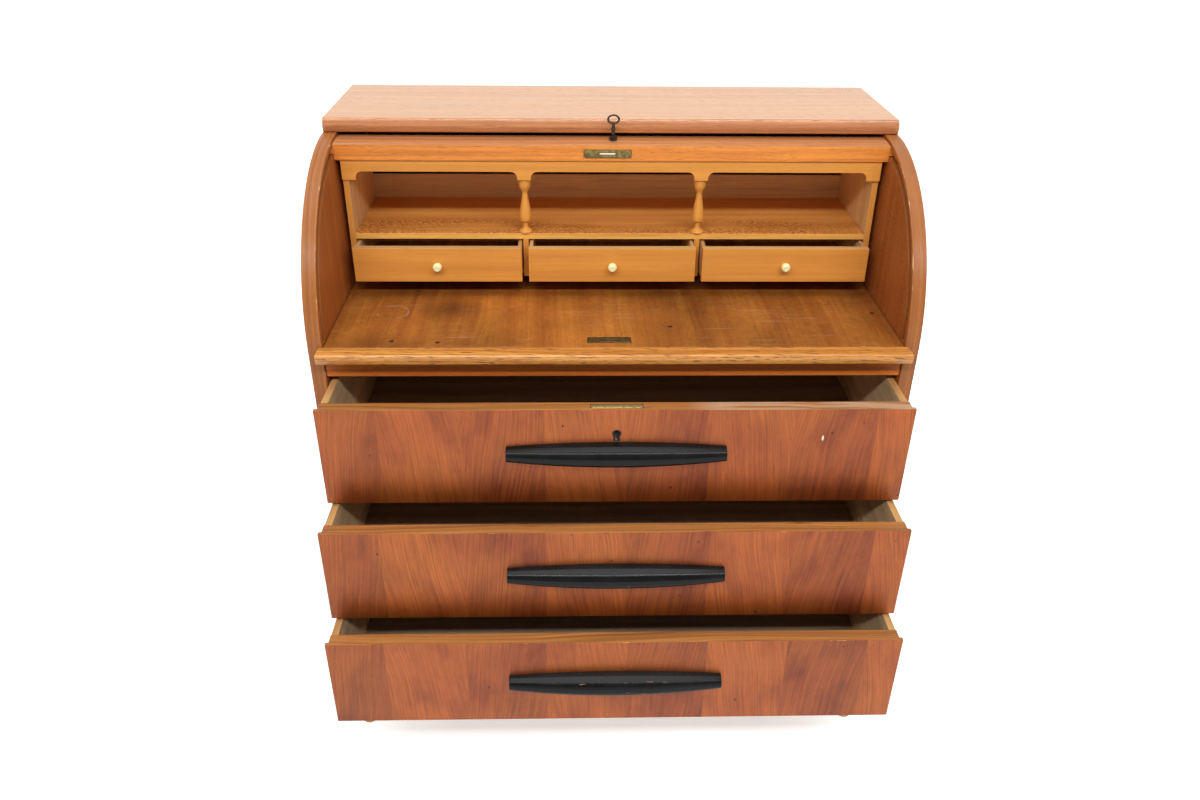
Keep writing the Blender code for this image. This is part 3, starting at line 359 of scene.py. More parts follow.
def edge_wear_group(name):
    """Where rounded edges are rubbed bare, from the mark that the edges carry."""
    graph, given, out = new_group(name, {"Place": ORIGIN, "Edge": 0.0, "Amount": 0.5}, ["Mask"])
    patches = graph.noise(given["Place"], scale=34.0, detail=4.0, roughness=0.65)
    low = graph.minus(0.78, graph.times(given["Amount"], 0.4))
    bare = graph.span(graph.minus(patches, low), 0.0, 0.12)
    graph.feed(out["Mask"], graph.times(bare, given["Edge"]))
    return graph.tree


def scratch_group(name):
    """Fine pale scratches that cross a surface in a few directions."""
    graph, given, out = new_group(name, {"Place": ORIGIN, "Amount": 0.5}, ["Mask"])
    total = 0.0
    for turn in (0.5, 2.0, 2.7):
        lines = graph.noise(graph.stretch(given["Place"], (9.0, 700.0, 9.0), (0.0, 0.0, turn)), detail=0.0)
        where = graph.noise(graph.stretch(given["Place"], (11.0, 11.0, 11.0), (0.0, 0.0, turn)), detail=1.0)
        total = graph.most(total, graph.times(graph.span(lines, 0.73, 0.80), graph.span(where, 0.56, 0.66)))
    graph.feed(out["Mask"], graph.times(total, given["Amount"]))
    return graph.tree


GROUPS = {"Wood grain": wood_grain_group, "Edge wear": edge_wear_group, "Scratches": scratch_group}

# Marks of use on the writing board, the drawers and the shelf
BOARD_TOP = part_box("writing_board")[1].z
BOARD_LEAF = 0.157
STAIN = (-0.256, 0.010, BOARD_TOP)
STAIN_RADIUS = 0.056
RING = (-0.345, -0.005, BOARD_TOP)
RING_RADIUS = 0.024
RING_WIDTH = 0.0022
BOARD_HOLES = [(0.086, -0.057, BOARD_TOP), (0.411, -0.008, BOARD_TOP), (-0.331, -0.106, BOARD_TOP),
               (-0.263, -0.110, BOARD_TOP)]
HOLE_RADIUS = 0.0042
CHIP = (0.301, 0.0, 0.664)
CHIP_WIDTH = 0.0017
CHIP_HEIGHT = 0.0052
CHIP_TURN = 0.45
RUBBED_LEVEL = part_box("top_drawer_front")[1].z - 0.006
RUBBED_RISE = 0.004
SHELF_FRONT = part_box("gallery_shelf")[0].y + 0.055
SHELF_BACK = SHELF_FRONT + 0.030
FLECK_SHARES = (0.55, 0.38, 0.30)


def new_finish(name, roughness, metallic=0.0, gloss=0.5):
    """A material with constant values on its shader's own sockets."""
    material = bpy.data.materials.new(name)
    material.use_nodes = True
    inputs = material.node_tree.nodes["Principled BSDF"].inputs
    inputs["Roughness"].default_value = roughness
    inputs["Metallic"].default_value = metallic
    inputs["Specular IOR Level"].default_value = gloss
    return material, Graph(material.node_tree), inputs


def finish_wood(graph, inputs, paint, grain, place, roughness, wear):
    """Adds worn edges, then feeds colour, roughness and grain relief to the shader."""
    edge = graph.attribute("worn", "Fac")
    mask = graph.group("Edge wear", Place=place, Edge=edge, Amount=wear)["Mask"]
    graph.feed(inputs["Base Color"], graph.mix(mask, paint, rgba(colours().worn_wood)))
    graph.feed(inputs["Roughness"], graph.span(grain["Streak"], 0.0, 1.0, roughness - 0.05, roughness + 0.08))
    relief = graph.plus(graph.times(grain["Pores"], -1.0), grain["Streak"])
    graph.feed(inputs["Normal"], graph.bump(relief, 0.22, 0.0003))


def wood_finish(name, wood, bands, waver=0.03, roughness=0.45, gloss=0.4, pores=0.5, wear=0.5, reach=1.0,
                streak=0.16, marks=None):
    """Wood in its own two colours. marks may add to the paint."""
    material, graph, inputs = new_finish(name, roughness, gloss=gloss)
    place = graph.attribute("grain", "Vector")
    light, dark = wood_colours(wood)
    grain = graph.group("Wood grain", Place=place, Bands=bands, Waver=waver, Reach=reach)
    paint = graph.mix(grain["Band"], rgba(dark), rgba(light))
    paint = graph.brighten(paint, graph.span(grain["Streak"], 0.0, 1.0, 1 - streak, 1 + streak))
    paint = graph.mix(graph.times(grain["Pores"], pores), paint, darker(dark))
    if marks:
        paint = marks(graph, place, paint)
    finish_wood(graph, inputs, paint, grain, place, roughness, wear)
    return material


def oak_dashes(graph, place, paint):
    """Long dark pores of coarse oak, which lean a little."""
    lean = graph.stretch(place, (1.0, 1.0, 1.0), (0.0, 0.0, 0.10))
    dashes = graph.noise(graph.stretch(lean, (34.0, 380.0, 380.0)))
    return graph.mix(graph.span(dashes, 0.56, 0.68, 0.0, 0.85), paint, darker(colours().nosing_dark, 0.30))


def core_marks(graph, place, paint):
    """A few knots, and a pale worn patch on the top drawer's upper edge."""
    knots = graph.cells(graph.stretch(place, (7.0, 60.0, 60.0)))
    paint = graph.mix(graph.span(knots, 0.16, 0.04, 0.0, 0.75), paint, rgba(colours().leaf_dark))
    across, _, up = graph.split(graph.object_place())
    high = graph.span(up, RUBBED_LEVEL, RUBBED_LEVEL + RUBBED_RISE)
    patch = graph.times(graph.span(across, 0.10, 0.15), high)
    streaks = graph.noise(graph.stretch(place, (9.0, 160.0, 160.0)), detail=3.0)
    patch = graph.times(patch, graph.span(streaks, 0.40, 0.56, 0.1, 0.9))
    return graph.mix(patch, paint, rgba(colours().rubbed))


def flecks(graph, place, paint, wood, amount, reach):
    """Short ray flecks of quarter-sawn wood, across its grain. reach says where they show."""
    swirl = graph.noise(place, scale=70.0, detail=1.0)
    bent = graph.vector("ADD", place, graph.combine(graph.times(swirl, 0.010), 0.0, 0.0))
    rays = graph.noise(graph.stretch(bent, (190.0, 420.0, 420.0)), detail=1.0)
    where = graph.noise(graph.stretch(place, (5.0, 16.0, 16.0)), detail=1.0)
    there = graph.times(graph.span(where, 0.34, 0.52), reach)
    mask = graph.times(graph.span(rays, 0.46, 0.56, 0.0, amount), there)
    dark = wood_colours(wood)[1]
    return graph.mix(mask, paint, rgba([channel * share for channel, share in zip(dark, FLECK_SHARES)]))


def shelf_flecks(graph, place, paint):
    """Flecks on the front of the shelf."""
    back = graph.split(graph.object_place())[1]
    return flecks(graph, place, paint, "shelf", 1.0, graph.span(back, SHELF_BACK, SHELF_FRONT))


def lining_flecks(graph, place, paint):
    """Flecks on the sides' inner faces, most of them on the right one."""
    across = graph.split(graph.object_place())[0]
    return flecks(graph, place, paint, "lining", 0.55, graph.span(across, 0.0, 0.1, 0.25, 1.0))


def board_marks(graph, place, paint):
    """Leaves of worn veneer with blotches, a stain, a ring, scratches and a few small holes."""
    where = graph.object_place()
    leaf = graph.math("FLOOR", graph.math("DIVIDE", graph.split(where)[0], BOARD_LEAF))
    shade = graph.noise(graph.combine(leaf, 0.3, 0.7), scale=3.7, detail=0.0)
    paint = graph.brighten(paint, graph.vary(shade, 0.90, 1.10))
    blotches = graph.noise(where, scale=6.0, detail=4.0, roughness=0.6)
    paint = graph.brighten(paint, graph.vary(blotches, 0.66, 1.32, 0.18))
    mottle = graph.noise(graph.stretch(where, (120.0, 260.0, 1.0)), detail=3.0, roughness=0.6)
    paint = graph.brighten(paint, graph.vary(mottle, 0.86, 1.14))
    stain = graph.span(graph.distance(where, STAIN), STAIN_RADIUS, 0.0, 0.0, 0.9)
    paint = graph.mix(stain, paint, darker(colours().oak_dark))
    ring = graph.times(graph.ring(where, RING, RING_RADIUS, RING_WIDTH), 0.35)
    scratches = graph.group("Scratches", Place=where, Amount=0.65)["Mask"]
    for mask in (ring, scratches):
        paint = graph.mix(mask, paint, rgba(colours().rubbed))
    for hole in BOARD_HOLES:
        mask = graph.span(graph.distance(where, hole), HOLE_RADIUS, HOLE_RADIUS * 0.7)
        paint = graph.mix(mask, paint, rgba(colours().hole))
    return paint


WOOD_FINISHES = {
    # Teak of the top's upward faces, painted paler with the sheen of its grazing reflection
    "Top teak": dict(wood="top", bands=140.0, roughness=0.22, gloss=0.6, wear=0.35, streak=0.10),
    "Outer teak": dict(wood="teak", bands=85.0, roughness=0.24, gloss=0.5, wear=0.35),
    "Rail teak": dict(wood="rail", bands=120.0, waver=0.06, wear=0.4),
    "Red teak": dict(wood="red", bands=130.0, roughness=0.5, gloss=0.25, wear=0.3),
    "Band teak": dict(wood="band", bands=150.0, waver=0.02, roughness=0.36, gloss=0.28, wear=0.6),
    "Side lining": dict(wood="lining", bands=60.0, roughness=0.44, gloss=0.3, pores=0.15, wear=0.25,
                        marks=lining_flecks),
    "Gallery beech": dict(wood="beech", bands=60.0, gloss=0.3, pores=0.15, wear=0.25, reach=0.6, streak=0.07),
    "Niche beech": dict(wood="niche", bands=60.0, roughness=0.5, gloss=0.25, pores=0.15, wear=0.25),
    "Flecked beech": dict(wood="shelf", bands=60.0, roughness=0.42, gloss=0.3, pores=0.15, wear=0.25,
                          marks=shelf_flecks),
    "Shelf edge": dict(wood="edge", bands=90.0, gloss=0.3, pores=0.2, wear=0.3),
    "Board oak": dict(wood="oak", bands=34.0, waver=0.05, roughness=0.40, gloss=0.35, pores=0.3, wear=0.3,
                      reach=0.7, marks=board_marks),
    "Nosing oak": dict(wood="nosing", bands=110.0, waver=0.06, roughness=0.24, gloss=0.5, pores=0.6, wear=0.3,
                       reach=1.4, marks=oak_dashes),
    "Drawer core": dict(wood="core", bands=190.0, waver=0.05, roughness=0.46, gloss=0.35, pores=0.3, wear=0.4,
                        reach=1.6, marks=core_marks),
    "Drawer pine": dict(wood="pine", bands=70.0, waver=0.04, roughness=0.5, gloss=0.3, pores=0.2, wear=0.3),
    # Darker drawer wood for the backs and bottoms, painted as the shade inside the drawers
    "Drawer bottom": dict(wood="bottom", bands=45.0, roughness=0.65, gloss=0.2, pores=0.3, wear=0.3),
    "Drawer inside": dict(wood="inside", bands=55.0, roughness=0.62, gloss=0.2, pores=0.3, wear=0.3),
    "Leg birch": dict(wood="birch", bands=60.0, waver=0.02, roughness=0.4, pores=0.2, wear=0.4),
}


def flame_veneer(name):
    """Upright leaves of figured veneer, each the mirror image of the next, lighter and darker in turn."""
    material, graph, inputs = new_finish(name, 0.36, metallic=0.56, gloss=0.75)
    place = graph.object_place()
    across, _, up = graph.split(place)
    shifted = graph.minus(across, sizes().leaf_start)
    mirrored = graph.math("PINGPONG", shifted, sizes().leaf)
    count = graph.math("FLOOR", graph.math("DIVIDE", shifted, sizes().leaf))
    turn = graph.math("FLOORED_MODULO", count, 2.0)
    sway = graph.noise(graph.stretch(place, (7.0, 0.0, 5.0)), detail=1.0)
    leaning = graph.plus(graph.plus(mirrored, graph.times(up, 0.12)), graph.vary(sway, -0.008, 0.008, 0.3))
    leaf_place = graph.combine(up, leaning, graph.times(count, 0.31))
    grain = graph.group("Wood grain", Place=leaf_place, Bands=210.0, Waver=0.02, Reach=2.0)
    cloud_place = graph.combine(graph.times(up, 10.0), graph.times(leaning, 19.0), count)
    clouds = graph.noise(cloud_place, detail=4.0, roughness=0.6)
    contrast = graph.times(turn, graph.span(up, 0.70, 0.45, 0.55, 1.0))
    joint = graph.span(mirrored, 0.0, sizes().leaf * 0.8, -0.50, -0.28)
    light = graph.plus(0.74, graph.times(joint, contrast))
    light = graph.plus(light, graph.span(clouds, 0.30, 0.56, -0.42, 0.10))
    flames = graph.span(grain["Band"], 0.0, 1.0, -0.13, 0.11)
    light = graph.plus(light, graph.times(flames, graph.span(turn, 0.0, 1.0, 0.7, 1.0)))
    paint = graph.mix(graph.span(light, 0.0, 1.0), rgba(colours().leaf_dark), rgba(colours().leaf_light))
    golden = graph.span(graph.noise(graph.stretch(place, (5.0, 1.0, 7.0))), 0.48, 0.66, 0.0, 0.24)
    paint = graph.mix(golden, paint, rgba(colours().leaf_gold))
    hair_place = graph.combine(graph.times(leaning, 380.0), count, graph.times(up, 6.0))
    hairs = graph.noise(hair_place, detail=3.0, roughness=0.65)
    paint = graph.brighten(paint, graph.vary(hairs, 0.70, 1.28))
    pits = graph.cells(graph.stretch(place, (30.0, 30.0, 22.0)))
    deep = graph.most(graph.times(grain["Pores"], 0.35), graph.span(pits, 0.07, 0.03))
    paint = graph.mix(deep, paint, darker(colours().leaf_dark))
    chip = graph.stretch(graph.vector("SUBTRACT", place, CHIP), (1 / CHIP_WIDTH, 0.0, 1 / CHIP_HEIGHT),
                         (0.0, CHIP_TURN, 0.0))
    paint = graph.mix(graph.span(graph.distance(chip, ORIGIN), 1.0, 0.7), paint, rgba(colours().chip))
    finish_wood(graph, inputs, paint, grain, place, 0.36, 0.45)
    return material


def black_lacquer(name):
    """Satin black, rubbed through to the wood in small nicks along its arris."""
    material, graph, inputs = new_finish(name, 0.24, gloss=0.17)
    place = graph.object_place()
    nicks = graph.noise(graph.stretch(place, (45.0, 420.0, 420.0)))
    nicks = graph.plus(nicks, graph.span(graph.split(place)[2], 0.45, 0.35, 0.0, 0.05))
    mask = graph.times(graph.span(nicks, 0.72, 0.77), graph.attribute("worn", "Fac"))
    haze = graph.noise(place, scale=22.0, detail=4.0)
    paint = graph.brighten(rgba(colours().lacquer), graph.vary(haze, 0.75, 1.5))
    graph.feed(inputs["Base Color"], graph.mix(mask, paint, rgba(colours().nick)))
    graph.feed(inputs["Roughness"], graph.vary(haze, 0.20, 0.30))
    graph.feed(inputs["Normal"], graph.bump(graph.noise(place, scale=300.0), 0.08, 0.0004))
    return material


def metal_finish(name, bright, tarnish, roughness, share, scale):
    """Bare metal with patches of tarnish, finely scratched."""
    material, graph, inputs = new_finish(name, roughness, metallic=1.0)
    place = graph.object_place()
    patches = graph.noise(place, scale=scale, detail=5.0, roughness=0.65)
    mask = graph.span(patches, 0.62 - share * 0.3, 0.74 - share * 0.3)
    pair = [rgba(getattr(colours(), word)) for word in (bright, tarnish)]
    graph.feed(inputs["Base Color"], graph.mix(mask, *pair))
    graph.feed(inputs["Roughness"], graph.span(mask, 0.0, 1.0, roughness, roughness + 0.2))
    fine = graph.noise(graph.stretch(place, (300.0, 2500.0, 2500.0)), detail=1.0)
    graph.feed(inputs["Normal"], graph.bump(fine, 0.10, 0.0002))
    return material


METAL_FINISHES = {
    "Aged brass": dict(bright="brass", tarnish="patina", roughness=0.42, share=0.55, scale=130.0),
    "Pale brass": dict(bright="pale_brass", tarnish="pale_patina", roughness=0.50, share=0.40, scale=150.0),
    "Dark brass": dict(bright="strike", tarnish="strike_patina", roughness=0.46, share=0.55, scale=130.0),
    "Bright steel": dict(bright="steel", tarnish="patina", roughness=0.30, share=0.05, scale=150.0),
    "Dark iron": dict(bright="iron", tarnish="rust", roughness=0.42, share=0.35, scale=180.0),
}


def cream_plastic(name):
    """Yellowed plastic under a thin gloss, which lets in a little light."""
    material, graph, inputs = new_finish(name, 0.30)
    inputs["Coat Weight"].default_value = 0.3
    inputs["Coat Roughness"].default_value = 0.15
    inputs["Subsurface Weight"].default_value = 0.15
    inputs["Subsurface Radius"].default_value = (0.004, 0.003, 0.001)
    yellowing = graph.noise(graph.object_place(), scale=120.0)
    graph.feed(inputs["Base Color"], graph.brighten(rgba(colours().cream), graph.vary(yellowing, 0.92, 1.05)))
    graph.feed(inputs["Roughness"], graph.vary(yellowing, 0.24, 0.38))
    return material


def canvas_cloth(name):
    """Coarse plain weave glued behind the slats."""
    material, graph, inputs = new_finish(name, 0.9)
    across, _, up = graph.split(graph.object_place())
    warp, weft = [graph.math("SINE", graph.times(way, 5200.0)) for way in (across, up)]
    weave = graph.times(warp, weft)
    paint = graph.brighten(rgba(colours().canvas), graph.span(weave, -1.0, 1.0, 0.75, 1.1))
    graph.feed(inputs["Base Color"], paint)
    graph.feed(inputs["Normal"], graph.bump(weave, 0.4, 0.0004))
    return material


OTHER_FINISHES = {"Flame veneer": flame_veneer, "Black lacquer": black_lacquer,
                  "Cream plastic": cream_plastic, "Canvas": canvas_cloth}


def finish(name):
    """The material of that name, made on its first use."""
    made = bpy.data.materials.get(name)
    if made:
        return made
    if name in WOOD_FINISHES:
        return wood_finish(name, **WOOD_FINISHES[name])
    if name in METAL_FINISHES:
        return metal_finish(name, **METAL_FINISHES[name])
    return OTHER_FINISHES[name](name)


# Mesh work

GRAIN_SPREAD = 9.0
SLOT_SHARE = 0.16
HEAD_SHARE = 0.07


def shift(shape, step, verts=None):
    bmesh.ops.translate(shape, vec=step, verts=shape.verts if verts is None else verts)


def rotate(shape, matrix, verts=None):
    bmesh.ops.rotate(shape, cent=ORIGIN, matrix=matrix, verts=shape.verts if verts is None else verts)


def spin(shape, geom, axis, turn, steps, **settings):
    bmesh.ops.spin(shape, geom=geom, cent=ORIGIN, axis=axis, angle=turn, steps=steps, **settings)


def grow(shape, faces, step):
    """Extrudes faces and moves the new ones."""
    grown = bmesh.ops.extrude_face_region(shape, geom=faces)["geom"]
    shift(shape, step, [item for item in grown if isinstance(item, bmesh.types.BMVert)])


def face_outward(shape):
    bmesh.ops.recalc_face_normals(shape, faces=shape.faces)


def whole(shape):
    return shape.verts[:] + shape.edges[:] + shape.faces[:]


def cut_across(shape, x, near=0.0):
    """Cuts a shape's faces at one x. Vertices that near to the cut are taken to lie on it."""
    bmesh.ops.bisect_plane(shape, geom=whole(shape), dist=near, plane_co=(x, 0, 0), plane_no=(1, 0, 0))


def cad_spots(node):
    return [vert.co for vert in frame["nodes"][node].data.vertices]


def cad_shape(node):
    """A copy of a CAD node's mesh, with its loose triangles merged back into whole faces."""
    shape = bmesh.new()
    shape.from_mesh(frame["nodes"][node].data)
    bmesh.ops.remove_doubles(shape, verts=shape.verts, dist=MERGE)
    bmesh.ops.dissolve_limit(shape, angle_limit=FLAT, verts=shape.verts, edges=shape.edges)
    return shape


def bevel(shape, edges, width, segments=EDGE_STEPS):
    """Rounds edges, and marks the rounded faces as worn."""
    worn = shape.faces.layers.float.get("worn")
    made = bmesh.ops.bevel(shape, geom=edges, offset=width, offset_type="OFFSET", affect="EDGES",
                           segments=segments, profile=0.5, material=-1, clamp_overlap=True)
    for face in made["faces"]:
        face[worn] = 1.0


def sharp_edges(shape):
    return [edge for edge in shape.edges if edge.is_manifold and edge.calc_face_angle() > SHARP]


def soften(shape, width):
    shape.faces.layers.float.new("worn")
    bevel(shape, sharp_edges(shape), width)


def lay_grain(shape, along, seed):
    """Gives each vertex its place in the board's own wood, whose grain runs along X there."""
    layer = shape.verts.layers.float_vector.new("grain")
    order = {"X": (0, 1, 2), "Y": (1, 0, 2), "Z": (2, 0, 1)}[along]
    draw = random.Random(seed)
    offset = Vector([draw.uniform(-GRAIN_SPREAD, GRAIN_SPREAD) for _ in range(3)])
    for vert in shape.verts:
        vert[layer] = Vector([vert.co[axis] for axis in order]) + offset


def choose_finishes(shape, choose):
    """Gives each face the number of its finish, or the first one to all."""
    shape.normal_update()
    for face in shape.faces:
        face.material_index = choose(face) if choose else 0


def looks_up(face):
    return int(face.normal.z > HALF)


def new_mesh(name, shape):
    mesh = bpy.data.meshes.new(name)
    shape.to_mesh(mesh)
    shape.free()
    return mesh


def new_object(name, data):
    made = bpy.data.objects.new(name, data)
    bpy.context.scene.collection.objects.link(made)
    return made


def publish(name, shape, finishes, body, node=None, even=False):
    """Turns a shape into a piece that rides on a body and may stand for a CAD node."""
    mesh = new_mesh(name, shape)
    for each in finishes:
        mesh.materials.append(finish(each))
    mesh.shade_smooth()
    mesh.set_sharp_from_angle(angle=SHADE_SHARP)
    piece = new_object(name, mesh)
    if even:
        piece.modifiers.new("even_shading", "WEIGHTED_NORMAL").keep_sharp = True
    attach(piece, body)
    if node:
        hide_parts(node)
    return piece


def stand_for(node, shape, finishes, even=False):
    return publish("finished_" + node, shape, finishes, BODY_OF[node], node, even)


def board(node, along, finishes, edge, choose=None, reshape=None):
    """A CAD board with softened edges and its own grain. choose gives each face its finish."""
    shape = cad_shape(node)
    if reshape:
        reshape(shape)
    soften(shape, edge)
    lay_grain(shape, along, node)
    choose_finishes(shape, choose)
    return stand_for(node, shape, finishes, even=True)


def boards(nodes, along, finish_name, edge):
    for node in nodes:
        board(node, along, [finish_name], edge)


def turned(profile, steps=TURNED_STEPS):
    """A profile of (radius, height) points turned about Z, closed at its ends with creased rims."""
    shape = bmesh.new()
    points = [shape.verts.new((radius, 0, height)) for radius, height in profile]
    edges = [shape.edges.new(pair) for pair in zip(points, points[1:])]
    spin(shape, points + edges, UP, 2 * pi, steps, use_merge=True)
    crease = shape.edges.layers.float.new("crease_edge")
    rims = [edge for edge in shape.edges if edge.is_boundary]
    for rim in rims:
        rim[crease] = 1.0
    bmesh.ops.holes_fill(shape, edges=rims)
    face_outward(shape)
    return shape


def stand_smooth(node, shape, finish_name):
    """A turned piece, made smooth."""
    step = stand_for(node, shape, [finish_name]).modifiers.new("smooth", "SUBSURF")
    step.levels = SMOOTH_LEVELS
    step.render_levels = SMOOTH_LEVELS


def slotted_head():
    """A low screw head with a slot, facing up, as a mesh."""
    radius = sizes().screw
    shape = bmesh.new()
    bmesh.ops.create_circle(shape, cap_ends=True, segments=ROUND_STEPS // 2, radius=radius)
    half_slot = radius * SLOT_SHARE
    for side in (-1, 1):
        cut_across(shape, side * half_slot)
    lands = [face for face in shape.faces if abs(face.calc_center_median().x) > half_slot]
    grow(shape, lands, UP * radius * HEAD_SHARE)
    bmesh.ops.delete(shape, geom=lands, context="FACES_ONLY")
    face_outward(shape)
    return new_mesh("screw_head", shape)


def screws(name, low_x, high_x, spot, normal, finish_name, body):
    """Screw heads near both ends of a lock plate, each with its slot at another angle."""
    head = slotted_head()
    shape = bmesh.new()
    draw = random.Random(name)
    upright = normal.to_track_quat("Z", "Y").to_matrix()
    inset = sizes().screw_inset
    for x in (low_x + inset, high_x - inset):
        others = set(shape.verts)
        shape.from_mesh(head)
        verts = [vert for vert in shape.verts if vert not in others]
        rotate(shape, upright @ Matrix.Rotation(draw.uniform(0.0, pi), 3, "Z"), verts)
        shift(shape, Vector((x, 0, 0)) + Vector(spot) + normal * MERGE, verts)
    bpy.data.meshes.remove(head)
    publish(name, shape, [finish_name], body)


# Carcase

# How far forward a side's edge looks where its front band begins
BAND_FACING = -0.05
# How much wider the sides' grain is drawn across their bands, and how far apart their faces' woods lie
BAND_SPREAD = 1.5
FACE_SHIFT = 3
NAIL_INSET = 0.010
NAIL_TOP_SHARE = 0.6
NAIL_HEIGHT_SHARE = 0.3
TOP_LEAN = 0.002
TOP_END_REACH = 0.01


def side_panel(node, inward):
    """Veneered outside with a rounded inner front edge; the face that looks inwards has its own lining."""
    shape = cad_shape(node)
    shape.faces.layers.float.new("worn")
    low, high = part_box(node)
    inner, outer = (high.x, low.x) if inward > 0 else (low.x, high.x)
    arris = []
    for edge in sharp_edges(shape):
        rim = [face for face in edge.link_faces if abs(face.normal.x) < HALF]
        if not rim or any(abs(vert.co.x - inner) >= MERGE for vert in edge.verts):
            continue
        through = any(abs(vert.co.x - outer) < MERGE for vert in rim[0].verts)
        if through and rim[0].normal.y < BAND_FACING:
            arris.append(edge)
    bevel(shape, arris, sizes().band_round, BAND_STEPS)
    bevel(shape, sharp_edges(shape), sizes().board_edge)
    shape.normal_update()
    grain = shape.loops.layers.float_vector.new("grain")
    for face in shape.faces:
        on_band = abs(face.normal.x) < FULL
        face.material_index = 2 if on_band else int(face.normal.x * inward > 0)
        for loop in face.loops:
            spot = loop.vert.co
            away = spot - ROLL_AXIS
            along = spot.z
            if away.z >= 0:
                along = ROLL_AXIS.z + hypot(away.y, away.z) * atan2(away.z, -away.y)
            loop[grain] = (spot.z, spot.y, inward * FACE_SHIFT)
            if on_band:
                loop[grain] = (along, spot.x * BAND_SPREAD, inward)
    stand_for(node, shape, ["Outer teak", "Side lining", "Band teak"], even=True)


def end_ring(node, level):
    """Centre and radius of a leg's end at that level."""
    ring = [co for co in cad_spots(node) if abs(co.z - level) < MERGE]
    xs = [co.x for co in ring]
    ys = [co.y for co in ring]
    centre = Vector(((min(xs) + max(xs)) / 2, (min(ys) + max(ys)) / 2, level))
    return centre, (max(xs) - min(xs)) / 2


def leg(node):
    """A round tapered leg that leans out to its foot."""
    low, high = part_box(node)
    foot, foot_radius = end_ring(node, low.z)
    head, head_radius = end_ring(node, high.z)
    shape = bmesh.new()
    bmesh.ops.create_cone(shape, cap_ends=True, segments=ROUND_STEPS, radius1=foot_radius,
                          radius2=head_radius, depth=head.z - foot.z)
    for vert in shape.verts:
        vert.co += (foot if vert.co.z < 0 else head) - Vector((0, 0, vert.co.z))
    soften(shape, sizes().board_edge)
    lay_grain(shape, "Z", node)
    stand_for(node, shape, ["Leg birch"], even=True)


def nail_row(first, last):
    """Even places from one edge to the other, about a nail's spacing apart."""
    count = int((last - first) / sizes().nail_pitch)
    return [first + NAIL_INSET + (last - first - 2 * NAIL_INSET) * n / count for n in range(count + 1)]


def back_nails():
    """Nail heads round the edge of the back panel."""
    low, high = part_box("back_panel")
    xs = nail_row(low.x, high.x)
    zs = nail_row(low.z, high.z)
    places = [(x, high.y, z) for x in xs for z in (low.z + NAIL_INSET, high.z - NAIL_INSET)]
    places += [(x, high.y, z) for z in zs[1:-1] for x in (low.x + NAIL_INSET, high.x - NAIL_INSET)]
    shape = bmesh.new()
    radius = sizes().nail
    for place in places:
        made = bmesh.ops.create_cone(shape, cap_ends=True, segments=TURNED_STEPS, radius1=radius,
                                     radius2=radius * NAIL_TOP_SHARE, depth=radius * NAIL_HEIGHT_SHARE)
        rotate(shape, Matrix.Rotation(-pi / 2, 3, "X"), made["verts"])
        shift(shape, place, made["verts"])
    publish("back_nails", shape, ["Dark iron"], "carcase")


def lean_ends(shape):
    """Lets the ends of the top lean in towards its upper face."""
    low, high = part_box("top_board")
    for vert in shape.verts:
        if abs(vert.co.x) > high.x - TOP_END_REACH:
            share = (vert.co.z - low.z) / (high.z - low.z)
            vert.co.x -= copysign(TOP_LEAN * share, vert.co.x)


class DESK_OT_carcase(bpy.types.Operator):
    """Sides, top, back, inner panels and legs"""

    bl_idname = "desk.carcase"
    bl_label = "Carcase"

    def execute(self, context):
        side_panel("left_side", 1)
        side_panel("right_side", -1)
        # The top's upward faces take its teak painted paler with the sheen of its grazing reflection
        board("top_board", "X", ["Outer teak", "Top teak"], sizes().board_edge,
              lambda face: int(face.normal.z > FULL), lean_ends)
        boards(["upper_rail"], "X", "Red teak", sizes().board_edge)
        boards(["back_panel"], "Z", "Outer teak", sizes().thin_edge)
        boards(["bottom_board", "dust_panel_lower", "dust_panel_upper", "board_bearer"], "X", "Drawer inside",
               sizes().thin_edge)
        for place in ("front_left", "front_right", "rear_left", "rear_right"):
            leg("leg_" + place)
        back_nails()
        return {"FINISHED"}


# Gallery

# Shares of a column's radius and height, from its foot up
COLUMN_TURNING = [(0.97, 0.0), (1.0, 0.008), (1.0, 0.022), (0.93, 0.037), (0.76, 0.052), (0.56, 0.070),
                  (0.45, 0.090), (0.39, 0.115), (0.37, 0.150), (0.375, 0.195), (0.40, 0.212), (0.74, 0.216),
                  (0.79, 0.224), (0.84, 0.245), (0.87, 0.275), (0.86, 0.320), (0.81, 0.390), (0.72, 0.470),
                  (0.62, 0.545), (0.50, 0.625), (0.42, 0.690), (0.385, 0.730), (0.40, 0.755), (0.50, 0.785),
                  (0.66, 0.815), (0.78, 0.845), (0.85, 0.885), (0.87, 0.930), (0.87, 1.0)]
COLUMN_SWELL = 1.07


def column(node):
    """A turned column, a little stouter than its solid."""
    low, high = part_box(node)
    radius = COLUMN_SWELL * (high.x - low.x) / 2
    shape = turned([(radius * width, (high.z - low.z) * share) for width, share in COLUMN_TURNING])
    shift(shape, ((low.x + high.x) / 2, (low.y + high.y) / 2, low.z))
    lay_grain(shape, "Z", node)
    stand_smooth(node, shape, "Gallery beech")


class DESK_OT_gallery(bpy.types.Operator):
    """Pigeonholes with their shelf, valance and columns"""

    bl_idname = "desk.gallery"
    bl_label = "Gallery"

    def execute(self, context):
        edge = sizes().thin_edge
        for node in ("gallery_left_side", "gallery_right_side"):
            board(node, "Z", ["Gallery beech", "Niche beech"], edge,
                  lambda face: int(abs(face.normal.x) > HALF))
        boards(["gallery_divider_left", "gallery_divider_right"], "Z", "Gallery beech", edge)
        boards(["gallery_valance", "gallery_floor"], "X", "Gallery beech", edge)
        boards(["gallery_back", "gallery_roof"], "X", "Niche beech", edge)
        board("gallery_shelf", "X", ["Flecked beech", "Shelf edge"], edge,
              lambda face: int(face.normal.y < -SOME))
        column("column_left")
        column("column_right")
        return {"FINISHED"}


# Lock plates and writing slide

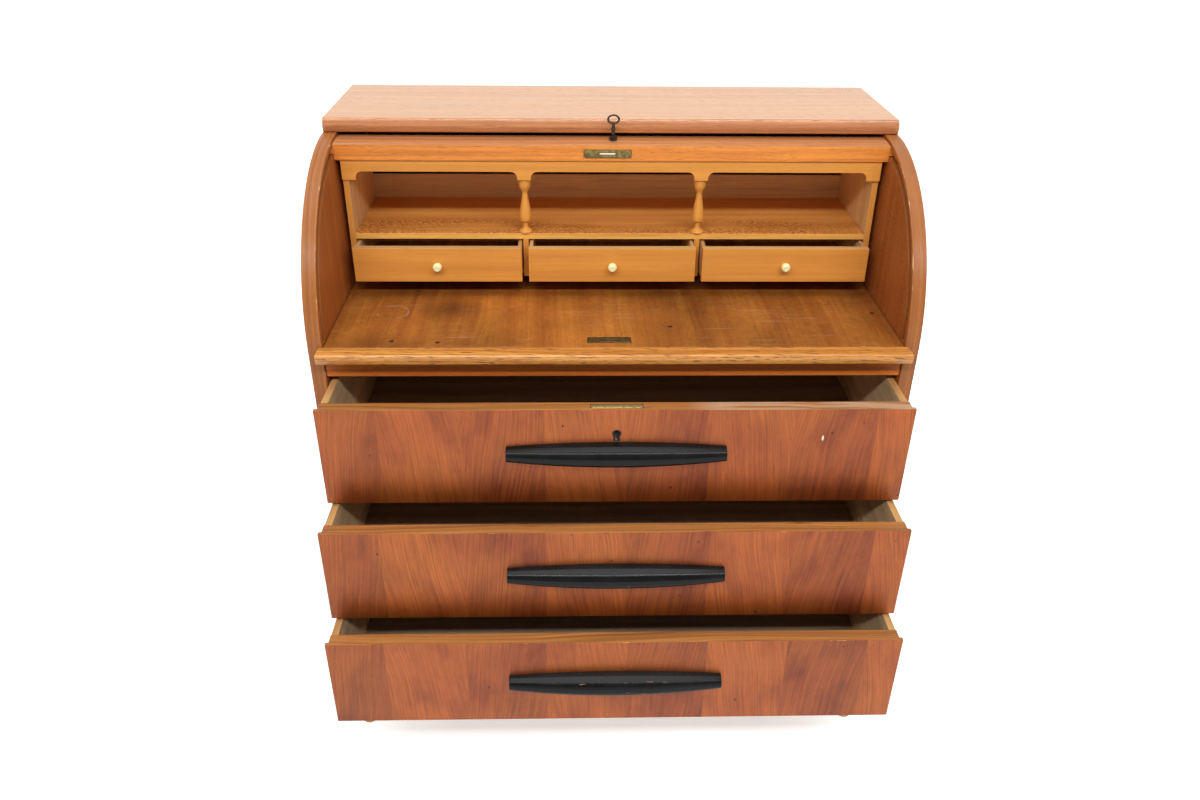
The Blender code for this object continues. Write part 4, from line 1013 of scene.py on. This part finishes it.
# Lock plates are thinner than this, and their corners lie this near to their ends
PLATE_DEPTH = 0.0025
CORNER_REACH = 0.001
# How far in a plate is cut across before its end is rounded, in radii of that end
END_CUT = 1.05


def corner_edges(shape, node):
    """The short edges at the ends of a plate, which run through its thickness."""
    low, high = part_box(node)
    found = []
    for edge in shape.edges:
        first, second = (vert.co for vert in edge.verts)
        at_end = min(abs(first.x - low.x), abs(first.x - high.x)) < CORNER_REACH
        if at_end and abs(first.x - second.x) < MERGE and (first - second).length < PLATE_DEPTH:
            found.append(edge)
    return found


def plate(node, end_radius, choose=None):
    """The shape of a metal plate with rounded ends and softened edges."""
    shape = cad_shape(node)
    low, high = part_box(node)
    for cut, side in ((low.x + end_radius * END_CUT, -1), (high.x - end_radius * END_CUT, 1)):
        cut_across(shape, cut, MERGE)
        end = []
        for edge in shape.edges:
            past = [(vert.co.x - cut) * side for vert in edge.verts]
            if max(past) > MERGE and min(past) > -MERGE:
                end.append(edge)
        bmesh.ops.dissolve_limit(shape, angle_limit=FLAT, edges=end)
    worn = shape.faces.layers.float.new("worn")
    bevel(shape, corner_edges(shape, node), end_radius, PLATE_END_STEPS)
    for face in shape.faces:
        face[worn] = 0.0
    bevel(shape, sharp_edges(shape), sizes().metal_edge, METAL_STEPS)
    choose_finishes(shape, choose)
    return shape


class DESK_OT_writing_slide(bpy.types.Operator):
    """Writing board with its nosing and strike plate"""

    bl_idname = "desk.writing_slide"
    bl_label = "Writing slide"

    def execute(self, context):
        boards(["writing_board"], "Y", "Board oak", sizes().thin_edge)
        boards(["board_nosing"], "X", "Nosing oak", sizes().nosing_round)
        stand_for("strike_plate", plate("strike_plate", sizes().strike_round), ["Dark brass"])
        low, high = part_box("strike_plate")
        spot = (0, (low.y + high.y) / 2, high.z)
        screws("strike_screws", low.x, high.x, spot, UP, "Dark brass", "writing_slide")
        return {"FINISHED"}


# Roll-top

RAIL_SWELL = 0.002
RAIL_SKIN = 0.0005
SLAT_SHIFT = 0.37
KEY_BOW_SHARE = 0.1955
# How much wider than its stem the key is where its collar begins
KEY_COLLAR_START = 1.2
# Shares of the stem's radius and rises above the collar's foot, and the same for the shaft above it
KEY_COLLAR = [(1.45, 0.0003), (1.5, 0.0016), (2.1, 0.0034), (2.05, 0.0043)]
KEY_SHOULDER = [(1.15, 0.0046), (1.0, 0.0058)]
KEY_BEADS = (0.45, 0.72)
KEY_BEAD = [(1.0, -0.0012), (1.28, 0.0), (1.0, 0.0012)]
KEY_NECK = [(0.80, -0.003), (0.80, 0.0)]
# How deep the neck runs into the bow, in radii of its wire
KEY_NECK_SEAT = 0.4


def tambour():
    """Straight slats with rounded outer edges, side by side on a strip of canvas."""
    spots = [co - ROLL_AXIS for co in cad_spots("tambour_curtain")]
    angles = [atan2(spot.z, -spot.y) for spot in spots]
    radii = [hypot(spot.y, spot.z) for spot in spots]
    first, last, inner, outer = min(angles), max(angles), min(radii), max(radii)
    low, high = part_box("tambour_curtain")
    count = sizes().slats
    pitch = (last - first) / count
    seat = inner + sizes().canvas
    width = 2 * seat * sin(pitch / 2) - sizes().slat_gap
    shape = bmesh.new()
    bmesh.ops.create_cube(shape, size=1.0)
    bmesh.ops.scale(shape, vec=(high.x - low.x, width, outer - seat), verts=shape.verts)
    shift(shape, (0, 0, (outer + seat) / 2))
    shape.faces.layers.float.new("worn")
    crown = [edge for edge in shape.edges if min(vert.co.z for vert in edge.verts) > seat + MERGE
             and abs(edge.verts[0].co.x - edge.verts[1].co.x) > width]
    bevel(shape, crown, sizes().slat_round, SLAT_STEPS)
    lay_grain(shape, "X", "slats")
    rotate(shape, Matrix.Rotation(pi / 2 - first - pitch / 2, 3, "X"))
    spin(shape, whole(shape), (1, 0, 0), -pitch * (count - 1), count - 1, use_duplicate=True)
    slats = set(shape.faces)
    strip = [shape.verts.new((low.x, -radius * cos(first), radius * sin(first))) for radius in (inner, seat)]
    spin(shape, strip + [shape.edges.new(strip)], (1, 0, 0), first - last, count * 2)
    grow(shape, [face for face in shape.faces if face not in slats], (high.x - low.x, 0, 0))
    face_outward(shape)
    for face in shape.faces:
        face.material_index = int(face not in slats)
    shift(shape, ROLL_AXIS)
    grain = shape.verts.layers.float_vector["grain"]
    for vert in shape.verts:
        vert[grain] += Vector((0, 0, int(vert.co.y / width) * SLAT_SHIFT))
    stand_for("tambour_curtain", shape, ["Outer teak", "Canvas"])


def roll_top_lock():
    """Lock plate with round ends, its bolt and its two screws."""
    out = Vector(JOINTS["bolt_throw"]["axis"]).normalized()
    spots = cad_spots("tambour_lock")
    front = max(spot.dot(out) for spot in spots)
    face = [spot for spot in spots if front - spot.dot(out) < 2 * MERGE]
    xs = [spot.x for spot in face]
    height = Vector((1, 0, 0)).cross(out)
    levels = [spot.dot(height) for spot in face]
    stand_for("tambour_lock", plate("tambour_lock", sizes().plate_round), ["Aged brass"])
    spot = out * front + height * ((min(levels) + max(levels)) / 2)
    screws("lock_screws", min(xs), max(xs), spot, out, "Aged brass", "roll_top")
    bolt = cad_shape("lock_bolt")
    soften(bolt, sizes().metal_edge)
    stand_for("lock_bolt", bolt, ["Bright steel"])


def key():
    """A key with an oval ring bow, beads on its shaft and a flared collar."""
    axis = Vector(JOINTS["key_turn"]["axis"]).normalized()
    home = Vector(JOINTS["key_turn"]["pos_m"])
    spots = [co - home for co in cad_spots("lock_key")]
    reach = [(spot.dot(axis), (spot - axis * spot.dot(axis)).length) for spot in spots]
    foot = min(along for along, _ in reach)
    top = max(along for along, _ in reach)
    widest = max(away for _, away in reach)
    shaft = sizes().key_shaft
    wire = sizes().key_wire
    stem = min(away for along, away in reach if along - foot < MERGE * 5)
    collar = min(along for along, away in reach if away > stem * KEY_COLLAR_START)
    bow_half = (top - collar) * KEY_BOW_SHARE
    bow = top - bow_half
    neck = bow - bow_half + wire * KEY_NECK_SEAT
    profile = [(stem, foot), (stem, collar)]
    profile += [(stem * share, collar + up) for share, up in KEY_COLLAR]
    beads = [(KEY_BEAD, collar + (neck - collar) * share) for share in KEY_BEADS]
    for turning, level in [(KEY_SHOULDER, collar), *beads, (KEY_NECK, neck)]:
        profile += [(shaft * share, level + up) for share, up in turning]
    shape = turned(profile, ROUND_STEPS // 2)
    ring = bmesh.ops.create_circle(shape, segments=TURNED_STEPS, radius=wire)["verts"]
    shift(shape, (widest - wire, 0, 0), ring)
    edges = list({edge for vert in ring for edge in vert.link_edges})
    before = set(shape.verts) - set(ring)
    spin(shape, ring + edges, (0, 1, 0), 2 * pi, ROUND_STEPS, use_merge=True)
    loop = [vert for vert in shape.verts if vert not in before]
    bmesh.ops.scale(shape, vec=(1, 1, (bow_half - wire) / (widest - wire)), verts=loop)
    shift(shape, (0, 0, bow), loop)
    face_outward(shape)
    rotate(shape, axis.to_track_quat("Z", "Y").to_matrix())
    shift(shape, home)
    stand_for("lock_key", shape, ["Dark iron"])


def swell_rail(shape):
    """Lifts the rail's outer face, which narrows the gap under the top board."""
    away = {vert: Vector((0, vert.co.y - ROLL_AXIS.y, vert.co.z - ROLL_AXIS.z)) for vert in shape.verts}
    outer = max(step.length for step in away.values())
    for vert, step in away.items():
        if step.length > outer - RAIL_SKIN:
            vert.co += step.normalized() * RAIL_SWELL


class DESK_OT_roll_top(bpy.types.Operator):
    """Lead rail, slats, lock, bolt and key"""

    bl_idname = "desk.roll_top"
    bl_label = "Roll-top"

    def execute(self, context):
        board("lead_rail", "X", ["Rail teak", "Outer teak"], sizes().board_edge,
              lambda face: int(face.normal.z > SOME), swell_rail)
        tambour()
        roll_top_lock()
        key()
        return {"FINISHED"}


# Large drawers

# Shares of the handle's depth and half height, from its top edge round its front to its lower edge
HANDLE_SECTION = [(0.0, 1.0), (0.36, 0.86), (0.70, 0.66), (0.80, 0.52), (0.88, 0.34), (0.96, 0.08),
                  (1.0, -0.25), (0.97, -0.50), (0.80, -0.78), (0.45, -0.92), (0.0, -0.95)]
HANDLE_RIDGES = [(0.75, 0.59), (1.0, -0.30)]
HANDLE_RIDGE_REACH = 0.11
HANDLE_END_SHARE = 0.60
HANDLE_EDGE = 0.0009
HANDLE_CUTS = 39
MOUTH_FACING = -0.99


def handle(word):
    """A boat-shaped pull with a long soft ridge in front, slimmer towards its ends."""
    node = word + "_drawer_handle"
    low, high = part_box(node)
    half = (high.x - low.x) / 2
    depth = high.y - low.y
    tall = (high.z - low.z) / (HANDLE_SECTION[0][1] - HANDLE_SECTION[-1][1])
    shape = bmesh.new()
    worn = shape.faces.layers.float.new("worn")
    section = [shape.verts.new((-half, -depth * out, tall * rise)) for out, rise in HANDLE_SECTION]
    grow(shape, [shape.faces.new(section)], (2 * half, 0, 0))
    face_outward(shape)
    front_edges = [edge for edge in shape.edges if min(vert.co.y for vert in edge.verts) < -MERGE]
    bevel(shape, front_edges, HANDLE_EDGE)
    long_edges = [edge for edge in shape.edges if abs(edge.verts[0].co.x - edge.verts[1].co.x) > half]
    bmesh.ops.subdivide_edges(shape, edges=long_edges, cuts=HANDLE_CUTS, use_grid_fill=True)
    for face in shape.faces:
        middle = face.calc_center_median()
        away = min(hypot(-middle.y / depth - out, middle.z / tall - rise) for out, rise in HANDLE_RIDGES)
        face[worn] = float(away < HANDLE_RIDGE_REACH or abs(middle.x) > half - 2 * HANDLE_EDGE)
    for vert in shape.verts:
        slim = 1 - (1 - HANDLE_END_SHARE) * (vert.co.x / half) ** 2
        vert.co.y *= slim
        vert.co.z *= slim
    shift(shape, (0, high.y, high.z - tall))
    stand_for(node, shape, ["Black lacquer"], even=True)


def large_drawer(word):
    """A front with veneer on its face, a box whose top edges take another wood than its walls and whose back and
    bottom are painted darker as shade, and a handle.
    """
    edge = sizes().thin_edge
    board(word + "_drawer_front", "X", ["Flame veneer", "Drawer core"], edge,
          lambda face: int(face.normal.y >= -SOME))
    # Backs and bottoms take the darker drawer wood, painted as the shade inside the drawers
    for name, along, wall in (("left_side", "Y", "Drawer inside"), ("right_side", "Y", "Drawer inside"),
                              ("back", "X", "Drawer bottom")):
        board("%s_drawer_%s" % (word, name), along, [wall, "Drawer pine"], edge, looks_up)
    boards([word + "_drawer_bottom"], "X", "Drawer bottom", edge)
    handle(word)


def drawer_lock():
    """Brass plate in the top edge, and an iron sleeve with a keyhole through the veneer."""
    node = "top_drawer_lock"
    low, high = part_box(node)
    shape = plate(node, sizes().drawer_plate_round,
                  lambda face: int(face.calc_center_median().z > high.z - PLATE_DEPTH))
    mouth = [face for face in shape.faces if face.normal.y < MOUTH_FACING
             and face.calc_center_median().y < low.y + MERGE]
    bmesh.ops.inset_region(shape, faces=mouth, thickness=sizes().keyhole_rim)
    grow(shape, mouth, (0, sizes().keyhole_depth, 0))
    bmesh.ops.delete(shape, geom=mouth, context="FACES_ONLY")
    stand_for(node, shape, ["Dark iron", "Pale brass"])
    ys = [co.y for co in cad_spots(node) if co.z > high.z - MERGE]
    spot = (0, (min(ys) + max(ys)) / 2, high.z)
    screws("drawer_lock_screws", low.x, high.x, spot, UP, "Pale brass", "top_drawer")


class DESK_OT_large_drawers(bpy.types.Operator):
    """Three veneered drawers with black handles and a lock"""

    bl_idname = "desk.large_drawers"
    bl_label = "Large drawers"

    def execute(self, context):
        for word in ("bottom", "middle", "top"):
            large_drawer(word)
        drawer_lock()
        return {"FINISHED"}


# Small drawers

# Shares of a knob's radius and reach, from its foot out
KNOB_TURNING = [(0.56, 0.0), (0.54, 0.05), (0.50, 0.16), (0.56, 0.28), (0.86, 0.38), (1.0, 0.54),
                (0.99, 0.70), (0.86, 0.87), (0.62, 0.965), (0.50, 0.985), (0.46, 0.955), (0.30, 0.955),
                (0.16, 0.965)]


def knob(node):
    """A turned knob with a ring in its face."""
    low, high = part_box(node)
    radius = (high.x - low.x) / 2
    shape = turned([(radius * width, (high.y - low.y) * share) for width, share in KNOB_TURNING])
    rotate(shape, Matrix.Rotation(pi / 2, 3, "X"))
    shift(shape, ((low.x + high.x) / 2, high.y, (low.z + high.z) / 2))
    stand_smooth(node, shape, "Cream plastic")


class DESK_OT_small_drawers(bpy.types.Operator):
    """Three small drawers with cream knobs"""

    bl_idname = "desk.small_drawers"
    bl_label = "Small drawers"

    def execute(self, context):
        edge = sizes().thin_edge
        for word in ("left", "middle", "right"):
            for name, along, wall in (("front", "X", "Gallery beech"), ("tray", "Y", "Drawer inside")):
                board("%s_small_drawer_%s" % (word, name), along, [wall, "Drawer pine"], edge, looks_up)
            knob(word + "_small_drawer_knob")
        return {"FINISHED"}


# Stage

WHITE = (1.0, 1.0, 1.0, 1.0)
FLOOR_HALF = 14.0
# Between these distances the floor goes from its near white to its far white
FLOOR_NEAR = 0.8
FLOOR_FAR = 2.6
# How far to the front and back the room's edge is blurred, as part of a direction
ROOM_EDGE = 0.4
AIM = Vector((0.0, 0.0, 0.6))
FRONT_LAMP_PLACE = Vector((0.0, -2.4, 3.0))
FRONT_LAMP_SIZE = (4.5, 0.25)
TOP_LAMP_PLACE = Vector((0.0, -0.4, 6.0))
TOP_LAMP_SIZE = (4.0, 3.4)
SENSOR_WIDTH = 36.0


def seen_white(graph):
    """1 for rays that see the stage directly, in a mirror or through glass."""
    path = graph.add("LightPath").outputs
    return graph.most(graph.most(path["Is Camera Ray"], path["Is Glossy Ray"]), path["Is Transmission Ray"])


def make_floor(stage):
    """A wide matt floor, lifted to white where it is seen."""
    material = bpy.data.materials.new("Studio floor")
    material.use_nodes = True
    graph = Graph(material.node_tree)
    nodes = material.node_tree.nodes
    nodes.remove(nodes["Principled BSDF"])
    matt = graph.add("BsdfDiffuse", {"Color": rgba(stage.floor_colour)})
    away = graph.distance(graph.object_place(), ORIGIN)
    lift = graph.span(away, FLOOR_NEAR, FLOOR_FAR, stage.floor_lift, stage.far_lift)
    glow = graph.add("Emission", {"Strength": graph.times(seen_white(graph), lift)})
    both = graph.add("AddShader", {0: matt.outputs[0], 1: glow.outputs[0]})
    graph.feed(nodes["Material Output"].inputs["Surface"], both.outputs[0])
    shape = bmesh.new()
    bmesh.ops.create_grid(shape, x_segments=2, y_segments=2, size=FLOOR_HALF)
    mesh = new_mesh("studio_floor", shape)
    mesh.materials.append(material)
    floor = new_object("studio_floor", mesh)


def make_world(stage):
    """Even light from all round; reflections show a dimmer room before the desk."""
    world = bpy.data.worlds.new("Studio")
    world.use_nodes = True
    graph = Graph(world.node_tree)
    nodes = world.node_tree.nodes
    even = nodes["Background"]
    even.inputs["Strength"].default_value = stage.sky
    even.inputs["Color"].default_value = WHITE
    path = graph.add("LightPath").outputs
    backward = graph.split(graph.add("TexCoord").outputs["Generated"])[1]
    mirrored = graph.span(backward, -ROOM_EDGE, ROOM_EDGE, stage.room, 1.0)
    level = graph.most(graph.most(path["Is Camera Ray"], path["Is Transmission Ray"]), mirrored)
    white = graph.add("Background", {"Color": WHITE, "Strength": level})
    mixed = graph.add("MixShader", {0: seen_white(graph), 1: even.outputs[0], 2: white.outputs[0]})
    graph.feed(nodes["World Output"].inputs["Surface"], mixed.outputs[0])
    bpy.context.scene.world = world


def make_lamp(name, place, power, size):
    """A soft lamp that looks at the middle of the desk."""
    lamp = bpy.data.lights.new(name, "AREA")
    lamp.shape = "RECTANGLE"
    lamp.size, lamp.size_y = size
    lamp.energy = power
    holder = new_object(name, lamp)
    holder.location = place
    holder.rotation_euler = (AIM - place).to_track_quat("-Z", "Y").to_euler()


def make_camera(stage):
    """The photograph's camera: where it stands, and how it looks down, aside and leans."""
    flat = cos(stage.pitch)
    forward = Vector((sin(stage.yaw) * flat, cos(stage.yaw) * flat, -sin(stage.pitch)))
    level = Vector((cos(stage.yaw), -sin(stage.yaw), 0.0))
    upright = level.cross(forward)
    right = level * cos(stage.roll) + upright * sin(stage.roll)
    above = upright * cos(stage.roll) - level * sin(stage.roll)
    lens = bpy.data.cameras.new("camera")
    lens.sensor_fit = "HORIZONTAL"
    lens.sensor_width = SENSOR_WIDTH
    lens.lens = stage.focal
    camera = new_object("camera", lens)
    turn = Matrix((right, above, -forward)).transposed().to_4x4()
    camera.matrix_world = Matrix.Translation(stage.camera_place) @ turn
    bpy.context.scene.camera = camera


class DESK_OT_stage(bpy.types.Operator):
    """Floor, light and camera"""

    bl_idname = "desk.stage"
    bl_label = "Stage"

    def execute(self, context):
        stage = context.scene.desk_stage
        make_floor(stage)
        make_world(stage)
        make_lamp("front_lamp", FRONT_LAMP_PLACE, stage.key_power, FRONT_LAMP_SIZE)
        make_lamp("top_lamp", TOP_LAMP_PLACE, stage.top_power, TOP_LAMP_SIZE)
        make_camera(stage)
        context.scene.view_settings.view_transform = "Standard"
        return {"FINISHED"}


# Add-on

STEPS = ["carcase", "gallery", "writing_slide", "roll_top", "large_drawers", "small_drawers", "stage"]


class DESK_PT_pieces(bpy.types.Panel):
    """Lists what can be made"""

    bl_label = "Writing desk"
    bl_idname = "DESK_PT_pieces"
    bl_space_type = "VIEW_3D"
    bl_region_type = "UI"
    bl_category = "Desk"

    def draw(self, context):
        for step in STEPS:
            self.layout.operator("desk." + step)


GROUPED = {"desk_sizes": DeskSizes, "desk_colours": DeskColours, "desk_stage": DeskStage}
OPERATORS = [DESK_OT_carcase, DESK_OT_gallery, DESK_OT_writing_slide, DESK_OT_roll_top, DESK_OT_large_drawers,
             DESK_OT_small_drawers, DESK_OT_stage]


def register():
    for each in [*GROUPED.values(), *OPERATORS, DESK_PT_pieces]:
        bpy.utils.register_class(each)
    for name, group in GROUPED.items():
        setattr(bpy.types.Scene, name, PointerProperty(type=group))


def unregister():
    for name in GROUPED:
        delattr(bpy.types.Scene, name)
    for each in [DESK_PT_pieces, *OPERATORS[::-1], *GROUPED.values()]:
        bpy.utils.unregister_class(each)


def main():
    register()
    for step in STEPS:
        getattr(bpy.ops.desk, step)()


if __name__ == "__main__":
    main()
